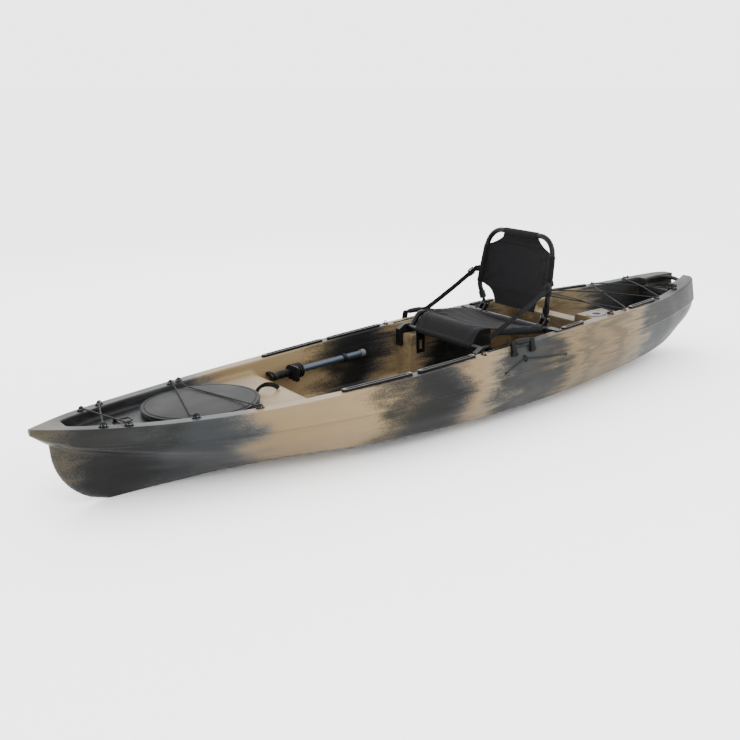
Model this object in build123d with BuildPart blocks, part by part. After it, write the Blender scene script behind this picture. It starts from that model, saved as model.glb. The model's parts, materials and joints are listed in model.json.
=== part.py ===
"""Sit-on-top angling kayak, about 12 feet long, as an assembly of separate pieces.

Millimetres.  X runs along the length with the bow at -X and the stern at +X, +Y is
starboard, +Z is up.  The origin is on the ground under the keel, amidships.
Hull lines are fair curves through a few offsets.  Between stations the hull is ruled,
so its gunwale tops are flat strips and every deck fitting has a plane to sit on.
"""
import math
import os

from build123d import *

os.makedirs("parts", exist_ok=True)

# ---------------------------------------------------------------- driving sizes
length = 3556.0            # tip of the beak to the stern
beam = 864.0               # over the knuckles, the widest line of the hull
wall = 4.2                 # moulded skin of the hull
rim = 46.0                 # flat width of the gunwale top
knuckle_out = 58.0         # how far the knuckle stands outside the gunwale, amidships
keel_half = 48.0           # half width of the flat keel strip
tube = 25.0                # seat frame tube, outside
tube_wall = 2.0
bungee = 6.0               # shock cord
gap = 0.3                  # clearance between pieces that only rest on each other

cockpit_front = -800.0     # where the footwell starts, measured from amidships
cockpit_back = 740.0       # front face of the bulkhead behind the seat
cockpit_floor = 92.0       # height of the cockpit floor
bulkhead_top = 330.0
bulkhead = 90.0            # fore and aft thickness of the bulkhead
well_floor = 190.0         # floor of the tank well
well_end = 190.0           # tank well's aft wall, measured forward from the stern
bow_deck_drop = 42.0       # the bow deck lies this far under its rims

hatch_long = 446.0         # hatch lid, fore and aft
hatch_wide = 404.0
hatch_x = -1150.0
hatch_flange = 34.0        # width of the hatch rim's ring
hatch_rim_height = 14.0
hatch_lid_thick = 8.0
scupper_bore = 30.0

half = length / 2
half_beam = beam / 2


# ---------------------------------------------------------------- hull lines
def fair(points, x):
    """Cubic Hermite curve through (x, value) pairs, with centred slopes."""
    n = len(points)
    i = max(k for k in range(n - 1) if points[k][0] <= x or k == 0)
    (x0, v0), (x1, v1) = points[i], points[i + 1]
    before = points[max(i - 1, 0)]
    after = points[min(i + 2, n - 1)]
    m0 = (v1 - before[1]) / (x1 - before[0])
    m1 = (after[1] - v0) / (after[0] - x0)
    h = x1 - x0
    t = min(max((x - x0) / h, 0.0), 1.0)
    return (v0 * (2 * t**3 - 3 * t**2 + 1) + m0 * h * (t**3 - 2 * t**2 + t)
            + v1 * (3 * t**2 - 2 * t**3) + m1 * h * (t**3 - t**2))


# Offsets are (share of the half length, value); breadths are shares of the half beam.
gunwale_line = [(-1.0, 0.02), (-0.9, 0.27), (-0.73, 0.53), (-0.5, 0.74), (-0.15, 0.855),
                (0.15, 0.845), (0.5, 0.735), (0.75, 0.585), (0.9, 0.42), (0.97, 0.31), (1.0, 0.24)]
knuckle_step = [(-1.0, 0.35), (-0.94, 0.72), (-0.73, 0.45), (-0.5, 0.45), (-0.2, 0.9),
                (0.3, 1.0), (0.7, 0.8), (1.0, 0.4)]
chine_line = [(-1.0, 0.02), (-0.92, 0.13), (-0.73, 0.38), (-0.55, 0.56), (-0.3, 0.74), (0.0, 0.80),
              (0.3, 0.76), (0.6, 0.60), (0.8, 0.45), (0.93, 0.25), (1.0, 0.12)]
sheer_line = [(-1.0, 322.0), (-0.73, 304.0), (-0.4, 310.0), (0.0, 341.0), (0.4, 368.0), (0.75, 374.0),
              (1.0, 412.0)]
knuckle_height = [(-1.0, 292.0), (-0.9, 262.0), (-0.7, 236.0), (-0.4, 222.0), (0.0, 242.0),
                  (0.4, 262.0), (0.75, 288.0), (1.0, 300.0)]
chine_height = [(-1.0, 262.0), (-0.91, 224.0), (-0.73, 140.0), (-0.55, 96.0), (-0.3, 64.0), (0.0, 54.0),
                (0.35, 62.0), (0.7, 88.0), (0.92, 140.0), (0.97, 180.0), (1.0, 236.0)]
keel_width = [(-1.0, 0.06), (-0.8, 0.12), (-0.5, 0.6), (-0.2, 1.0), (0.4, 1.0), (0.8, 0.7), (1.0, 0.4)]
rocker = [(0.5, 0.0), (0.55, 0.0), (0.8, 20.0), (0.91, 58.0), (0.96, 100.0), (0.985, 148.0), (1.0, 205.0)]


def gunwale(x):
    """Half breadth to the outer edge of the gunwale top."""
    return half_beam * fair(gunwale_line, x / half)


def sheer(x):
    return fair(sheer_line, x / half)


def knuckle(x):
    return gunwale(x) + knuckle_out * fair(knuckle_step, x / half)


def keel_z(x):
    return max(fair(rocker, x / half), 0.0) if x > 0.55 * half else 0.0


def section(x):
    """Half outline of the hull at x from the keel to the gunwale, as (y, z) points."""
    k = keel_half * fair(keel_width, x / half)
    c = half_beam * fair(chine_line, x / half)
    cz = fair(chine_height, x / half)
    kz = fair(knuckle_height, x / half)
    lip = 9.0 * min(1.0, max(0.0, (x + half) / 300))
    return [(k, keel_z(x)),
            (k + 0.5 * (c - k), keel_z(x) + 0.36 * (cz - keel_z(x))),
            (c, cz),
            (c + 0.82 * (knuckle(x) - c), cz + 0.55 * (kz - cz)),
            (knuckle(x) - lip, kz - 7.0),
            (knuckle(x), kz),
            (gunwale(x) + 5.0, sheer(x) - 5.0),
            (gunwale(x), sheer(x))]


def inner_section(x):
    """The same outline inside the moulded skin."""
    keel, garboard, chine, side, lip, _, _, top = section(x)
    return [(keel[0], keel[1] + wall),
            (garboard[0], garboard[1] + wall),
            (chine[0] - wall, chine[1] + 0.6 * wall),
            (side[0] - wall, side[1]),
            (lip[0] - wall, lip[1]),
            (top[0] - wall, top[1] - wall)]


def loft_sections(xs, outline):
    """Ruled solid through mirrored half outlines; outline(x) gives (y, z) points."""
    with BuildPart() as body:
        for x in xs:
            side = outline(x)
            ring = [(y, z) for y, z in side] + [(-y, z) for y, z in reversed(side)]
            with BuildSketch(Plane((x, 0, 0), x_dir=(0, 1, 0), z_dir=(1, 0, 0))):
                Polygon(*ring, align=None)
        loft(ruled=True)
    return body.part


bow_stations = [-half, -half + 35, -half + 75, -half + 125, -half + 190, -half + 270, -half + 360,
                -half + 470, -half + 590, -half + 720, -half + 860]
mid_stations = [-740.0, -378.0, -45.0, 255.0, 450.0, 660.0, 830.0, 1010.0, 1290.0]
stern_stations = [half - 420, half - 300, half - 200, half - 130, half - 75, half - 35, half]
stations = bow_stations + [x for x in mid_stations if -half + 900 < x < half - 450] + stern_stations


# ---------------------------------------------------------------- the deck's hollows
ledge = 24.0               # how far the cockpit walls lean out, floor to top
riser_front = 15.0         # moulded seat risers along the cockpit walls
riser_back = 520.0
riser_inside = 205.0       # half breadth between the risers
riser_top = 305.0
rod_block_back = 940.0     # the rod holders stand in moulded corners beside the bulkhead
rod_block_inside = 165.0
stern_slot_half = 78.0     # the notch under the stern handle, half its breadth
stern_slot_floor = 352.0
bow_recess_front = -half + 120
bow_recess_back = cockpit_front + 6
ramp = 170.0               # fore and aft length of the slope from the bow deck to the cockpit floor


def deck_inside(x):
    """Half breadth to the inner edge of the gunwale top."""
    return max(gunwale(x) - rim, 4.0)


def bow_deck(x):
    """Height of the recessed bow deck."""
    return sheer(x) - bow_deck_drop


def floor_height(x):
    """Cockpit floor: a long ramp down from the bow deck, then flat."""
    share = min(max((x - cockpit_front) / ramp, 0.0), 1.0)
    start = bow_deck(cockpit_front)
    return start + (cockpit_floor - start) * share


def trough(top_z, floor_z, inside, slope, grow=0.0):
    """Outline of an open trough as a function of x; grow moves its walls out by a skin."""
    def outline(x):
        top = inside(x) + grow
        bottom = max(top - slope(x), 6.0)
        return [(bottom, floor_z(x) - grow), (top, top_z(x) + 80.0)]
    return outline


def cockpit_slope(x):
    share = min(max((x - cockpit_front) / ramp, 0.0), 1.0)
    return 8.0 + (ledge - 8.0) * share


def bow_slope(x):
    return 5.0


def well_slope(x):
    return 26.0


well_front = cockpit_back + bulkhead
well_back = half - well_end
cockpit_xs = [cockpit_front, cockpit_front + ramp]
cockpit_xs = cockpit_xs + [x for x in mid_stations if cockpit_xs[1] + 20 < x < cockpit_back - 20]
cockpit_xs = cockpit_xs + [cockpit_back]
bow_xs = [bow_recess_front] + [x for x in stations if bow_recess_front + 20 < x < cockpit_front - 20]
bow_xs = bow_xs + [bow_recess_back]
well_xs = [well_front] + [x for x in stations if well_front + 20 < x < well_back - 20] + [well_back]


def cavities(grow):
    """The bow recess, cockpit and tank well as solids, each grown by a skin."""
    def stretched(xs):
        return [xs[0] - grow] + xs[1:-1] + [xs[-1] + grow]

    pieces = [loft_sections(stretched(bow_xs), trough(sheer, bow_deck, deck_inside, bow_slope, grow)),
              loft_sections(stretched(cockpit_xs),
                            trough(sheer, floor_height, deck_inside, cockpit_slope, grow)),
              loft_sections(stretched(well_xs),
                            trough(sheer, lambda x: well_floor, deck_inside, well_slope, grow))]
    return pieces


def slab(x0, x1, y0, y1, z0, z1):
    """Plain block between two corners."""
    with BuildPart() as block:
        with BuildSketch(Plane.XY.offset(z0)):
            with Locations(((x0 + x1) / 2, (y0 + y1) / 2)):
                Rectangle(x1 - x0, y1 - y0)
        extrude(amount=z1 - z0)
    return block.part


def post(x, y, z0, z1, diameter):
    """Upright cylinder."""
    with BuildPart() as pin:
        with BuildSketch(Plane((x, y, z0))):
            Circle(diameter / 2)
        extrude(amount=z1 - z0)
    return pin.part


def ellipse_plate(plane, long, wide, height):
    with BuildPart() as plate:
        with BuildSketch(plane):
            Ellipse(long / 2, wide / 2)
        extrude(amount=height)
    return plate.part


def chord(f, x):
    """Value of a hull line on the straight run between the two stations beside x."""
    i = max(k for k in range(len(stations) - 1) if stations[k] <= x or k == 0)
    x0, x1 = stations[i], stations[i + 1]
    return f(x0) + (f(x1) - f(x0)) * (x - x0) / (x1 - x0)


def gunwale_plane(x, side, from_edge=rim / 2):
    """Plane on the flat gunwale top; its x runs aft along the gunwale, its z points up."""
    i = max(k for k in range(len(stations) - 1) if stations[k] <= x or k == 0)
    x0, x1 = stations[i], stations[i + 1]
    run = Vector(x1 - x0, side * (gunwale(x1) - gunwale(x0)), sheer(x1) - sheer(x0))
    place = (x, side * (chord(gunwale, x) - from_edge), chord(sheer, x))
    return Plane(place, x_dir=run, z_dir=(-run.Z, 0, run.X))


def band_point(x, share, off):
    """Point on the hull's upper side band, share of the way from the deck edge to the knuckle."""
    top = Vector(x, chord(gunwale, x) + 5.0, chord(sheer, x) - 5.0)
    low = Vector(x, chord(knuckle, x), chord(lambda u: fair(knuckle_height, u / half), x))
    out = Vector(0, top.Z - low.Z, low.Y - top.Y).normalized()
    return top + (low - top) * share + out * off


# ---------------------------------------------------------------- hull
rod_x = 812.0
rod_y = 245.0
rod_tilt = 14.0
rod_bore = 42.0
rod_tube = 48.0
rod_depth = 160.0
scuppers = [(-470.0, 120.0), (600.0, 120.0), (1000.0, 95.0), (1330.0, 75.0)]
drain_x = 1655.0
drain_hole = 22.0


def rod_plane(side):
    lean = math.radians(rod_tilt)
    origin = (rod_x, side * rod_y, chord(sheer, rod_x))
    return Plane(origin, x_dir=(math.cos(lean), 0, -math.sin(lean)),
                 z_dir=(math.sin(lean), 0, math.cos(lean)))


def side_profile():
    """Side view of the hull: the beak, the round stem and the forefoot."""
    with BuildPart() as profile:
        with BuildSketch(Plane.XZ.offset(-half_beam - 60)):
            with BuildLine():
                Polyline((-half + 61, 248), (-half, 298), (-half, 600), (half, 600), (half, -20),
                         (-half + 300, -20), (-half + 180, 21))
                ThreePointArc((-half + 180, 21), (-half + 88, 113), (-half + 61, 248))
            make_face()
        extrude(amount=2 * half_beam + 120)
    return profile.part


def make_hull():
    body = loft_sections(stations, section) & side_profile()
    hollow = loft_sections([x for x in stations if -half + 200 < x < half - 20], inner_section)
    bow, cockpit, well = cavities(0.0)
    bow_skin, cockpit_skin, well_skin = cavities(wall)
    for side in (1, -1):
        y0, y1 = sorted((side * riser_inside, side * half_beam))
        cockpit -= slab(riser_front, riser_back, y0, y1, 0, riser_top)
        y0, y1 = sorted((side * (riser_inside + wall), side * half_beam))
        cockpit_skin -= slab(riser_front + wall, riser_back - wall, y0, y1, 0, riser_top - wall)
        y0, y1 = sorted((side * rod_block_inside, side * half_beam))
        well -= slab(well_front - 50, rod_block_back, y0, y1, 0, 600)
        y0, y1 = sorted((side * (rod_block_inside + wall), side * half_beam))
        well_skin -= slab(well_front - 50, rod_block_back - wall, y0, y1, 0, chord(sheer, rod_x) - 8 - wall)
    saddle = slab(cockpit_back - 5, well_front + 5, -rod_block_inside, rod_block_inside, bulkhead_top, 600)
    slot = slab(well_back - 5, half + 50, -stern_slot_half, stern_slot_half, stern_slot_floor, 600)
    slot_skin = slab(well_back - 5, half + 50, -stern_slot_half - wall, stern_slot_half + wall,
                     stern_slot_floor - wall, 600)
    saddle_skin = slab(cockpit_back - 5, well_front + 5, -rod_block_inside - wall, rod_block_inside + wall,
                       bulkhead_top - wall, 600)
    for tool in (bow_skin, cockpit_skin, well_skin, saddle_skin, slot_skin):
        hollow -= tool
    for x, y in scuppers:
        for side in (1, -1):
            hollow -= post(x, side * y, -20, 500, scupper_bore + 2 * wall)
    for tool in (bow, cockpit, well, saddle, slot):
        body -= tool
    body -= hollow
    for x, y in scuppers:
        for side in (1, -1):
            body -= post(x, side * y, -20, 300, scupper_bore)
    hole = Plane((hatch_x, 0, bow_deck(hatch_x) - 40))
    body -= ellipse_plate(hole, hatch_long - 2 * hatch_flange, hatch_wide - 2 * hatch_flange, 80)
    body -= post(drain_x, 0, stern_slot_floor - 30, stern_slot_floor + 10, drain_hole)
    for side in (1, -1):
        with BuildPart() as rod_hole:
            with BuildSketch(rod_plane(side).offset(-60)):
                Circle(rod_tube / 2 + gap)
            extrude(amount=100)
        body -= rod_hole.part
    return body


hull = make_hull()
hull.label = "hull"
export_step(hull, "parts/hull.step")


# ---------------------------------------------------------------- helpers for the fittings
def save(piece, name):
    piece.label = name
    export_step(piece, f"parts/{name}.step")


def save_group(pieces, name):
    """Several separate solids of one kind in one node."""
    save(Compound(children=[solid for piece in pieces for solid in piece.solids()]), name)


def rod(start, end, diameter, bore=0.0):
    """Straight round bar or tube between two points."""
    start, end = Vector(start), Vector(end)
    with BuildPart() as bar:
        with BuildSketch(Plane(start, z_dir=end - start)):
            Circle(diameter / 2)
            if bore:
                Circle(bore / 2, mode=Mode.SUBTRACT)
        extrude(amount=(end - start).length)
    return bar.part


def corner_radii(points, largest):
    """One radius for each corner: the largest given, or what its two runs leave room for."""
    radii = []
    for before, here, after in zip(points, points[1:], points[2:]):
        run_in = Vector(*here) - Vector(*before)
        run_out = Vector(*after) - Vector(*here)
        turn = math.radians(run_in.get_angle(run_out))
        room = 0.45 * min(run_in.length, run_out.length) / math.tan(turn / 2)
        radii.append(min(largest, room))
    return radii


def bent(points, largest, diameter, bore=0.0):
    """Round bar, tube or cord along straight runs joined by tangent arcs."""
    with BuildPart() as bar:
        with BuildLine() as path:
            FilletPolyline(*points, radius=corner_radii(points, largest))
        with BuildSketch(Plane(path.line @ 0, z_dir=path.line % 0)):
            Circle(diameter / 2)
            if bore:
                Circle(bore / 2, mode=Mode.SUBTRACT)
        sweep(path=path.line)
    return bar.part


def plate(plane, outline, thickness, both=False):
    """Flat piece: a polygon on a plane, made thickness deep."""
    with BuildPart() as piece:
        with BuildSketch(plane):
            Polygon(*outline, align=None)
        extrude(amount=thickness, both=both)
    return piece.part


# ---------------------------------------------------------------- bow hatch
gasket_section = 10.0      # breadth of the gasket's ring
gasket_inset = 8.0
gasket_high = 2.6
deck_z = max(bow_deck(x) for x in (hatch_x - hatch_long / 2, hatch_x, hatch_x + hatch_long / 2))
rim_z = deck_z + gap
lid_z = rim_z + hatch_rim_height + gasket_high
neck_wall = 4.0
neck_depth = 24.0


def make_hatch_rim():
    """Ring screwed on the deck, with a neck that lines the opening."""
    neck_long = hatch_long - 2 * hatch_flange - 1.0
    neck_wide = hatch_wide - 2 * hatch_flange - 1.0
    with BuildPart() as ring:
        with BuildSketch(Plane((hatch_x, 0, rim_z))):
            Ellipse(hatch_long / 2, hatch_wide / 2)
        extrude(amount=hatch_rim_height)
        chamfer(ring.edges().group_by(Axis.Z)[-1], 3.0)
        with BuildSketch(Plane((hatch_x, 0, rim_z))):
            Ellipse(neck_long / 2, neck_wide / 2)
        extrude(amount=-neck_depth)
        with BuildSketch(Plane((hatch_x, 0, rim_z - neck_depth))):
            Ellipse(neck_long / 2 - neck_wall, neck_wide / 2 - neck_wall)
        extrude(amount=neck_depth + hatch_rim_height, mode=Mode.SUBTRACT)
    return ring.part


def make_hatch_gasket():
    with BuildPart() as gasket:
        with BuildSketch(Plane((hatch_x, 0, rim_z + hatch_rim_height))):
            Ellipse(hatch_long / 2 - gasket_inset, hatch_wide / 2 - gasket_inset)
            inner = gasket_inset + gasket_section
            Ellipse(hatch_long / 2 - inner, hatch_wide / 2 - inner, mode=Mode.SUBTRACT)
        extrude(amount=gasket_high - gap)
    return gasket.part


lid_overhang = 3.0
lid_step = 14.0
lid_crown = 6.0


def make_hatch_lid():
    """Lid with a rolled edge, a raised crown and a locating ring underneath."""
    with BuildPart() as lid:
        with BuildSketch(Plane((hatch_x, 0, lid_z))):
            Ellipse(hatch_long / 2 + lid_overhang, hatch_wide / 2 + lid_overhang)
        extrude(amount=hatch_lid_thick)
        fillet(lid.edges().group_by(Axis.Z)[-1], 3.5)
        with BuildSketch(Plane((hatch_x, 0, lid_z + hatch_lid_thick))):
            Ellipse(hatch_long / 2 - lid_step, hatch_wide / 2 - lid_step)
        extrude(amount=lid_crown, taper=35)
        spigot = hatch_flange + neck_wall + 2.0
        with BuildSketch(Plane((hatch_x, 0, lid_z))):
            Ellipse(hatch_long / 2 - spigot, hatch_wide / 2 - spigot)
            Ellipse(hatch_long / 2 - spigot - 6, hatch_wide / 2 - spigot - 6, mode=Mode.SUBTRACT)
        extrude(amount=-12)
    return lid.part


lid_top = lid_z + hatch_lid_thick + lid_crown
save(make_hatch_rim(), "bow_hatch_rim")
save(make_hatch_gasket(), "bow_hatch_gasket")
save(make_hatch_lid(), "bow_hatch_lid")

eye_wire = 4.0
eye_inside = 16.0
eye_base = 3.0


def pad_eye(plane, along=34.0, across=13.0):
    """Oval plate with a round arch that spans the plane's x."""
    spread = (eye_inside + eye_wire) / 2
    with BuildPart() as eye:
        with BuildSketch(plane.offset(gap)):
            SlotOverall(along, across)
        extrude(amount=eye_base)
        base = plane.origin + plane.z_dir * (gap + eye_base - 1.0)
        left = base - plane.x_dir * spread
        right = base + plane.x_dir * spread
        crest = base + plane.z_dir * (spread + 3.0)
        with BuildLine() as arch:
            ThreePointArc(left, crest, right)
        with BuildSketch(Plane(arch.line @ 0, z_dir=arch.line % 0)):
            Circle(eye_wire / 2)
        sweep(path=arch.line)
    return eye.part


def across_gunwale(x, side, from_edge=rim / 2):
    """Gunwale plane turned so that its x points inboard."""
    base = gunwale_plane(x, side, from_edge)
    return Plane(base.origin, x_dir=base.z_dir.cross(base.x_dir), z_dir=base.z_dir)


cord_over_base = gap + eye_base + 6.0


def eye_centre(x, side, from_edge=rim / 2):
    base = gunwale_plane(x, side, from_edge)
    return base.origin + base.z_dir * cord_over_base


def deck_plane(x, y):
    """Plane on the bow deck, level across and following its slope fore and aft."""
    i = max(k for k in range(len(bow_xs) - 1) if bow_xs[k] <= x or k == 0)
    x0, x1 = bow_xs[i], bow_xs[i + 1]
    run = Vector(x1 - x0, 0, bow_deck(x1) - bow_deck(x0))
    z = bow_deck(x0) + run.Z * (x - x0) / run.X
    return Plane((x, y, z), x_dir=run, z_dir=(-run.Z, 0, run.X))


# Shock cords over the hatch lid: hooked to the deck on both sides.
cord_lift = bungee / 2 + 1.0
hatch_cords = {"hatch_bungee_front": ((hatch_x - 20, 1), (hatch_x - 115, -1)),
               "hatch_bungee_rear": ((hatch_x + 18, 1), (hatch_x + 110, -1))}
hatch_eyes = []
for name, ends in hatch_cords.items():
    points = []
    for x, side in ends:
        from_edge = rim - 11.0
        eye = eye_centre(x, side, from_edge)
        hatch_eyes.append(pad_eye(gunwale_plane(x, side, from_edge)))
        share = (x - hatch_x) / (hatch_long / 2)
        edge_y = side * (hatch_wide / 2) * math.sqrt(1 - share**2)
        over_edge = Vector(x, edge_y * 0.90, lid_top + cord_lift)
        ordered = [eye, over_edge]
        points = points + (ordered if side > 0 else ordered[::-1])
    save(bent(points, 20.0, bungee), name)
save_group(hatch_eyes, "hatch_pad_eyes")


def make_pull_strap():
    """Webbing loop that tethers the lid to the deck behind it."""
    start = hatch_x + hatch_long / 2 + lid_overhang + 4
    end = cockpit_front - 14
    low = bow_deck(end) + 1.5
    with BuildPart() as strap:
        with BuildSketch(Plane.XZ):
            with BuildLine():
                rise = ThreePointArc((start, low), ((start + end) / 2, low + 30), (end, low))
                inner = ThreePointArc((end - 2.5, low), ((start + end) / 2, low + 27.5), (start + 2.5, low))
                Line(rise @ 1, inner @ 0)
                Line(inner @ 1, rise @ 0)
            make_face()
        extrude(amount=10, both=True)
    return strap.part


save(make_pull_strap(), "hatch_tether")

# ---------------------------------------------------------------- bow deck fittings
bow_eye_x = (-half + 215, -half + 292)
bow_eyes = [pad_eye(gunwale_plane(x, side)) for x in bow_eye_x for side in (1, -1)]
save_group(bow_eyes, "bow_pad_eyes")
bow_cords = []
for order in (1, -1):
    start = eye_centre(bow_eye_x[0], order)
    end = eye_centre(bow_eye_x[1], -order)
    middle = (start + end) * 0.5 + Vector(0, 0, -6.0 + 5.0 * order)
    bow_cords.append(bent([start, middle, end], 200.0, bungee))
save_group(bow_cords, "bow_bungee")

handle_x = -half + 318
handle_base = deck_plane(handle_x, 0)
handle_long = 62.0
handle_pin = 5.0
handle_pin_lift = 11.0
pin_clear = 0.05           # radial clearance on the pins that the handles turn on


def make_bow_handle_base():
    """Plate on the bow deck with two ears and the pin that the loop turns on."""
    with BuildPart() as base:
        with BuildSketch(handle_base.offset(gap)):
            RectangleRounded(44, handle_long + 22, 8)
        extrude(amount=4)
        for side in (1, -1):
            with BuildSketch(handle_base.offset(gap + 4)):
                with Locations((-12, side * (handle_long / 2 + 4))):
                    Rectangle(12, 6)
            extrude(amount=11)
        start = handle_base.from_local_coords((-12, -handle_long / 2 - 4, gap + handle_pin_lift))
        end = handle_base.from_local_coords((-12, handle_long / 2 + 4, gap + handle_pin_lift))
        with BuildSketch(Plane(start, z_dir=end - start)):
            Circle(handle_pin / 2)
        extrude(amount=(end - start).length)
    return base.part


def make_bow_handle_loop():
    """Trapezium carrying loop that lies back over the plate."""
    lift = gap + handle_pin_lift
    half_eye = handle_long / 2 - 4
    corners = [(-12, -half_eye, lift), (34, -half_eye + 9, lift + 4), (34, half_eye - 9, lift + 4),
               (-12, half_eye, lift)]
    points = [handle_base.from_local_coords(corner) for corner in corners]
    loop = bent(points, 9.0, 6.0)
    for side in (1, -1):
        eye_end = handle_base.from_local_coords((-12, side * (half_eye + 4), lift))
        eye_start = handle_base.from_local_coords((-12, side * (half_eye - 4), lift))
        loop += rod(eye_start, eye_end, handle_pin + 6)
    pin_start = handle_base.from_local_coords((-12, -half_eye - 6, lift))
    pin_end = handle_base.from_local_coords((-12, half_eye + 6, lift))
    return loop - rod(pin_start, pin_end, handle_pin + 2 * pin_clear)


save(make_bow_handle_base(), "bow_handle_base")
save(make_bow_handle_loop(), "bow_handle_loop")

# ---------------------------------------------------------------- gear tracks and gunwale fittings
track_wide = 24.0
track_high = 9.0
track_slot = 9.0
track_lip = 2.5
track_runs = [(-715.0, -392.0), (-364.0, -62.0), (492.0, 644.0), (1030.0, 1270.0)]
track_edge = rim - track_wide / 2 - 3.0
screw_inset = 18.0
screw_shank = 4.0


def make_track(run, side):
    """Straight T-slot strip on one flat stretch of the gunwale."""
    x0, x1 = run
    base = gunwale_plane((x0 + x1) / 2, side, track_edge)
    long = (Vector(base.origin) - gunwale_plane(x0, side, track_edge).origin).length * 2
    with BuildPart() as strip:
        with BuildSketch(base.offset(gap)):
            SlotOverall(long, track_wide)
        extrude(amount=track_high)
        with BuildSketch(base.offset(gap + 2.0)):
            SlotOverall(long - 44, track_slot + 6)
        extrude(amount=track_high - 2.0 - track_lip, mode=Mode.SUBTRACT)
        with BuildSketch(base.offset(gap + 2.0)):
            SlotOverall(long - 50, track_slot)
        extrude(amount=track_high, mode=Mode.SUBTRACT)
        with BuildSketch(base.offset(gap)):
            with Locations((-long / 2 + screw_inset / 2 + 2, 0), (long / 2 - screw_inset / 2 - 2, 0)):
                Circle(screw_shank / 2 + 0.3)
        extrude(amount=track_high, mode=Mode.SUBTRACT)
    screws = []
    for end in (-1, 1):
        x = end * (long / 2 - screw_inset / 2 - 2)
        foot = base.from_local_coords((x, 0, gap))
        with BuildPart() as screw:
            with BuildSketch(Plane(foot, z_dir=base.z_dir)):
                Circle(screw_shank / 2)
            extrude(amount=track_high + 0.2)
            with BuildSketch(Plane(foot + base.z_dir * (track_high + 0.2), z_dir=base.z_dir)):
                Circle(4.2)
            extrude(amount=2.2)
            fillet(screw.edges().group_by(SortBy.LENGTH)[-1], 0.8)
        screws.append(screw.part)
    return strip.part, screws


sides = {"starboard": 1, "port": -1}
track_screws = []
for side_name, side in sides.items():
    strips = []
    for run in track_runs:
        strip, screws = make_track(run, side)
        strips.append(strip)
        track_screws.extend(screws)
    save_group(strips[:2], f"gear_tracks_front_{side_name}")
    save_group(strips[2:], f"gear_tracks_rear_{side_name}")
save_group(track_screws, "gear_track_screws")

side_eye_x = -20.0
gunwale_eyes = [pad_eye(across_gunwale(side_eye_x, side)) for side in (1, -1)]
save_group(gunwale_eyes, "gunwale_pad_eyes")

# ---------------------------------------------------------------- tank well
well_eye_x = (875.0, 985.0, 1310.0, 1520.0)
well_eye_edge = rim - 12.0
well_eyes = [pad_eye(across_gunwale(x, side, well_eye_edge)) for x in well_eye_x for side in (1, -1)]
save_group(well_eyes, "tank_well_pad_eyes")

lace_half = 16.0
lace_radius = 16.0
knot = 12.0
well_cords = []
for first in (1, -1):
    points = []
    side = first
    for k, x in enumerate(well_eye_x):
        centre = eye_centre(x, side, well_eye_edge)
        run = gunwale_plane(x, side, well_eye_edge).x_dir
        if k == 0:
            points.append(centre - run * (lace_half + 8))
        else:
            points.append(centre - run * lace_half)
        points.append(centre + run * (lace_half if k < len(well_eye_x) - 1 else lace_half + 8))
        if k < len(well_eye_x) - 1 and first < 0:
            other = eye_centre(well_eye_x[k + 1], -side, well_eye_edge)
            points.append((centre + other) * 0.5 + Vector(0, 0, 9.0))
        side = -side
    cord = bent(points, lace_radius, bungee)
    for end in (points[0], points[-1]):
        with BuildPart() as ball:
            with Locations(end):
                Sphere(knot / 2)
        cord += ball.part
    well_cords.append(cord)
save_group(well_cords, "tank_well_bungee")


# ---------------------------------------------------------------- stern handle and drain plug
stern_handle_x = half - 76.0
stern_bar = 22.0
stern_bar_z = chord(sheer, stern_handle_x) - 16.0
stern_foot = 5.0


def make_stern_handle():
    """Arched grab bar between the two stern blocks, with a foot plate at each end."""
    reach = stern_slot_half - gap
    with BuildPart() as handle:
        with BuildLine() as arch:
            ThreePointArc((stern_handle_x, -reach + stern_foot, stern_bar_z),
                          (stern_handle_x + 16, 0, stern_bar_z + 9),
                          (stern_handle_x, reach - stern_foot, stern_bar_z))
        with BuildSketch(Plane(arch.line @ 0, z_dir=arch.line % 0)):
            Circle(stern_bar / 2)
        sweep(path=arch.line)
        for side in (1, -1):
            with BuildSketch(Plane((stern_handle_x, side * reach, stern_bar_z), x_dir=(1, 0, 0),
                                   z_dir=(0, -side, 0))):
                RectangleRounded(46, 30, 7)
            extrude(amount=stern_foot + 1.5)
    return handle.part


save(make_stern_handle(), "stern_handle")
bolt_heads = []
for side in (1, -1):
    for dx in (-17, 17):
        y = side * (stern_slot_half - gap - stern_foot - 1.5)
        bolt_heads.append(rod((stern_handle_x + dx, y - side * 0.2, stern_bar_z),
                              (stern_handle_x + dx, y - side * 3.2, stern_bar_z), 8.5))
save_group(bolt_heads, "stern_handle_bolts")


def make_drain_plug():
    """Screw-in plug with a winged head, in the hole through the stern deck."""
    with BuildPart() as plug:
        with BuildSketch(Plane((drain_x, 0, stern_slot_floor + gap))):
            Circle(17)
        extrude(amount=5)
        with BuildSketch(Plane((drain_x, 0, stern_slot_floor + gap + 5))):
            RectangleRounded(26, 6, 2.5)
        extrude(amount=8)
        with BuildSketch(Plane((drain_x, 0, stern_slot_floor + gap))):
            Circle(drain_hole / 2 - 0.3)
        extrude(amount=-14)
    return plug.part


save(make_drain_plug(), "drain_plug")

# ---------------------------------------------------------------- flush rod holders
flange_long = 112.0
flange_wide = 78.0
flange_thick = 4.0


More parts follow.
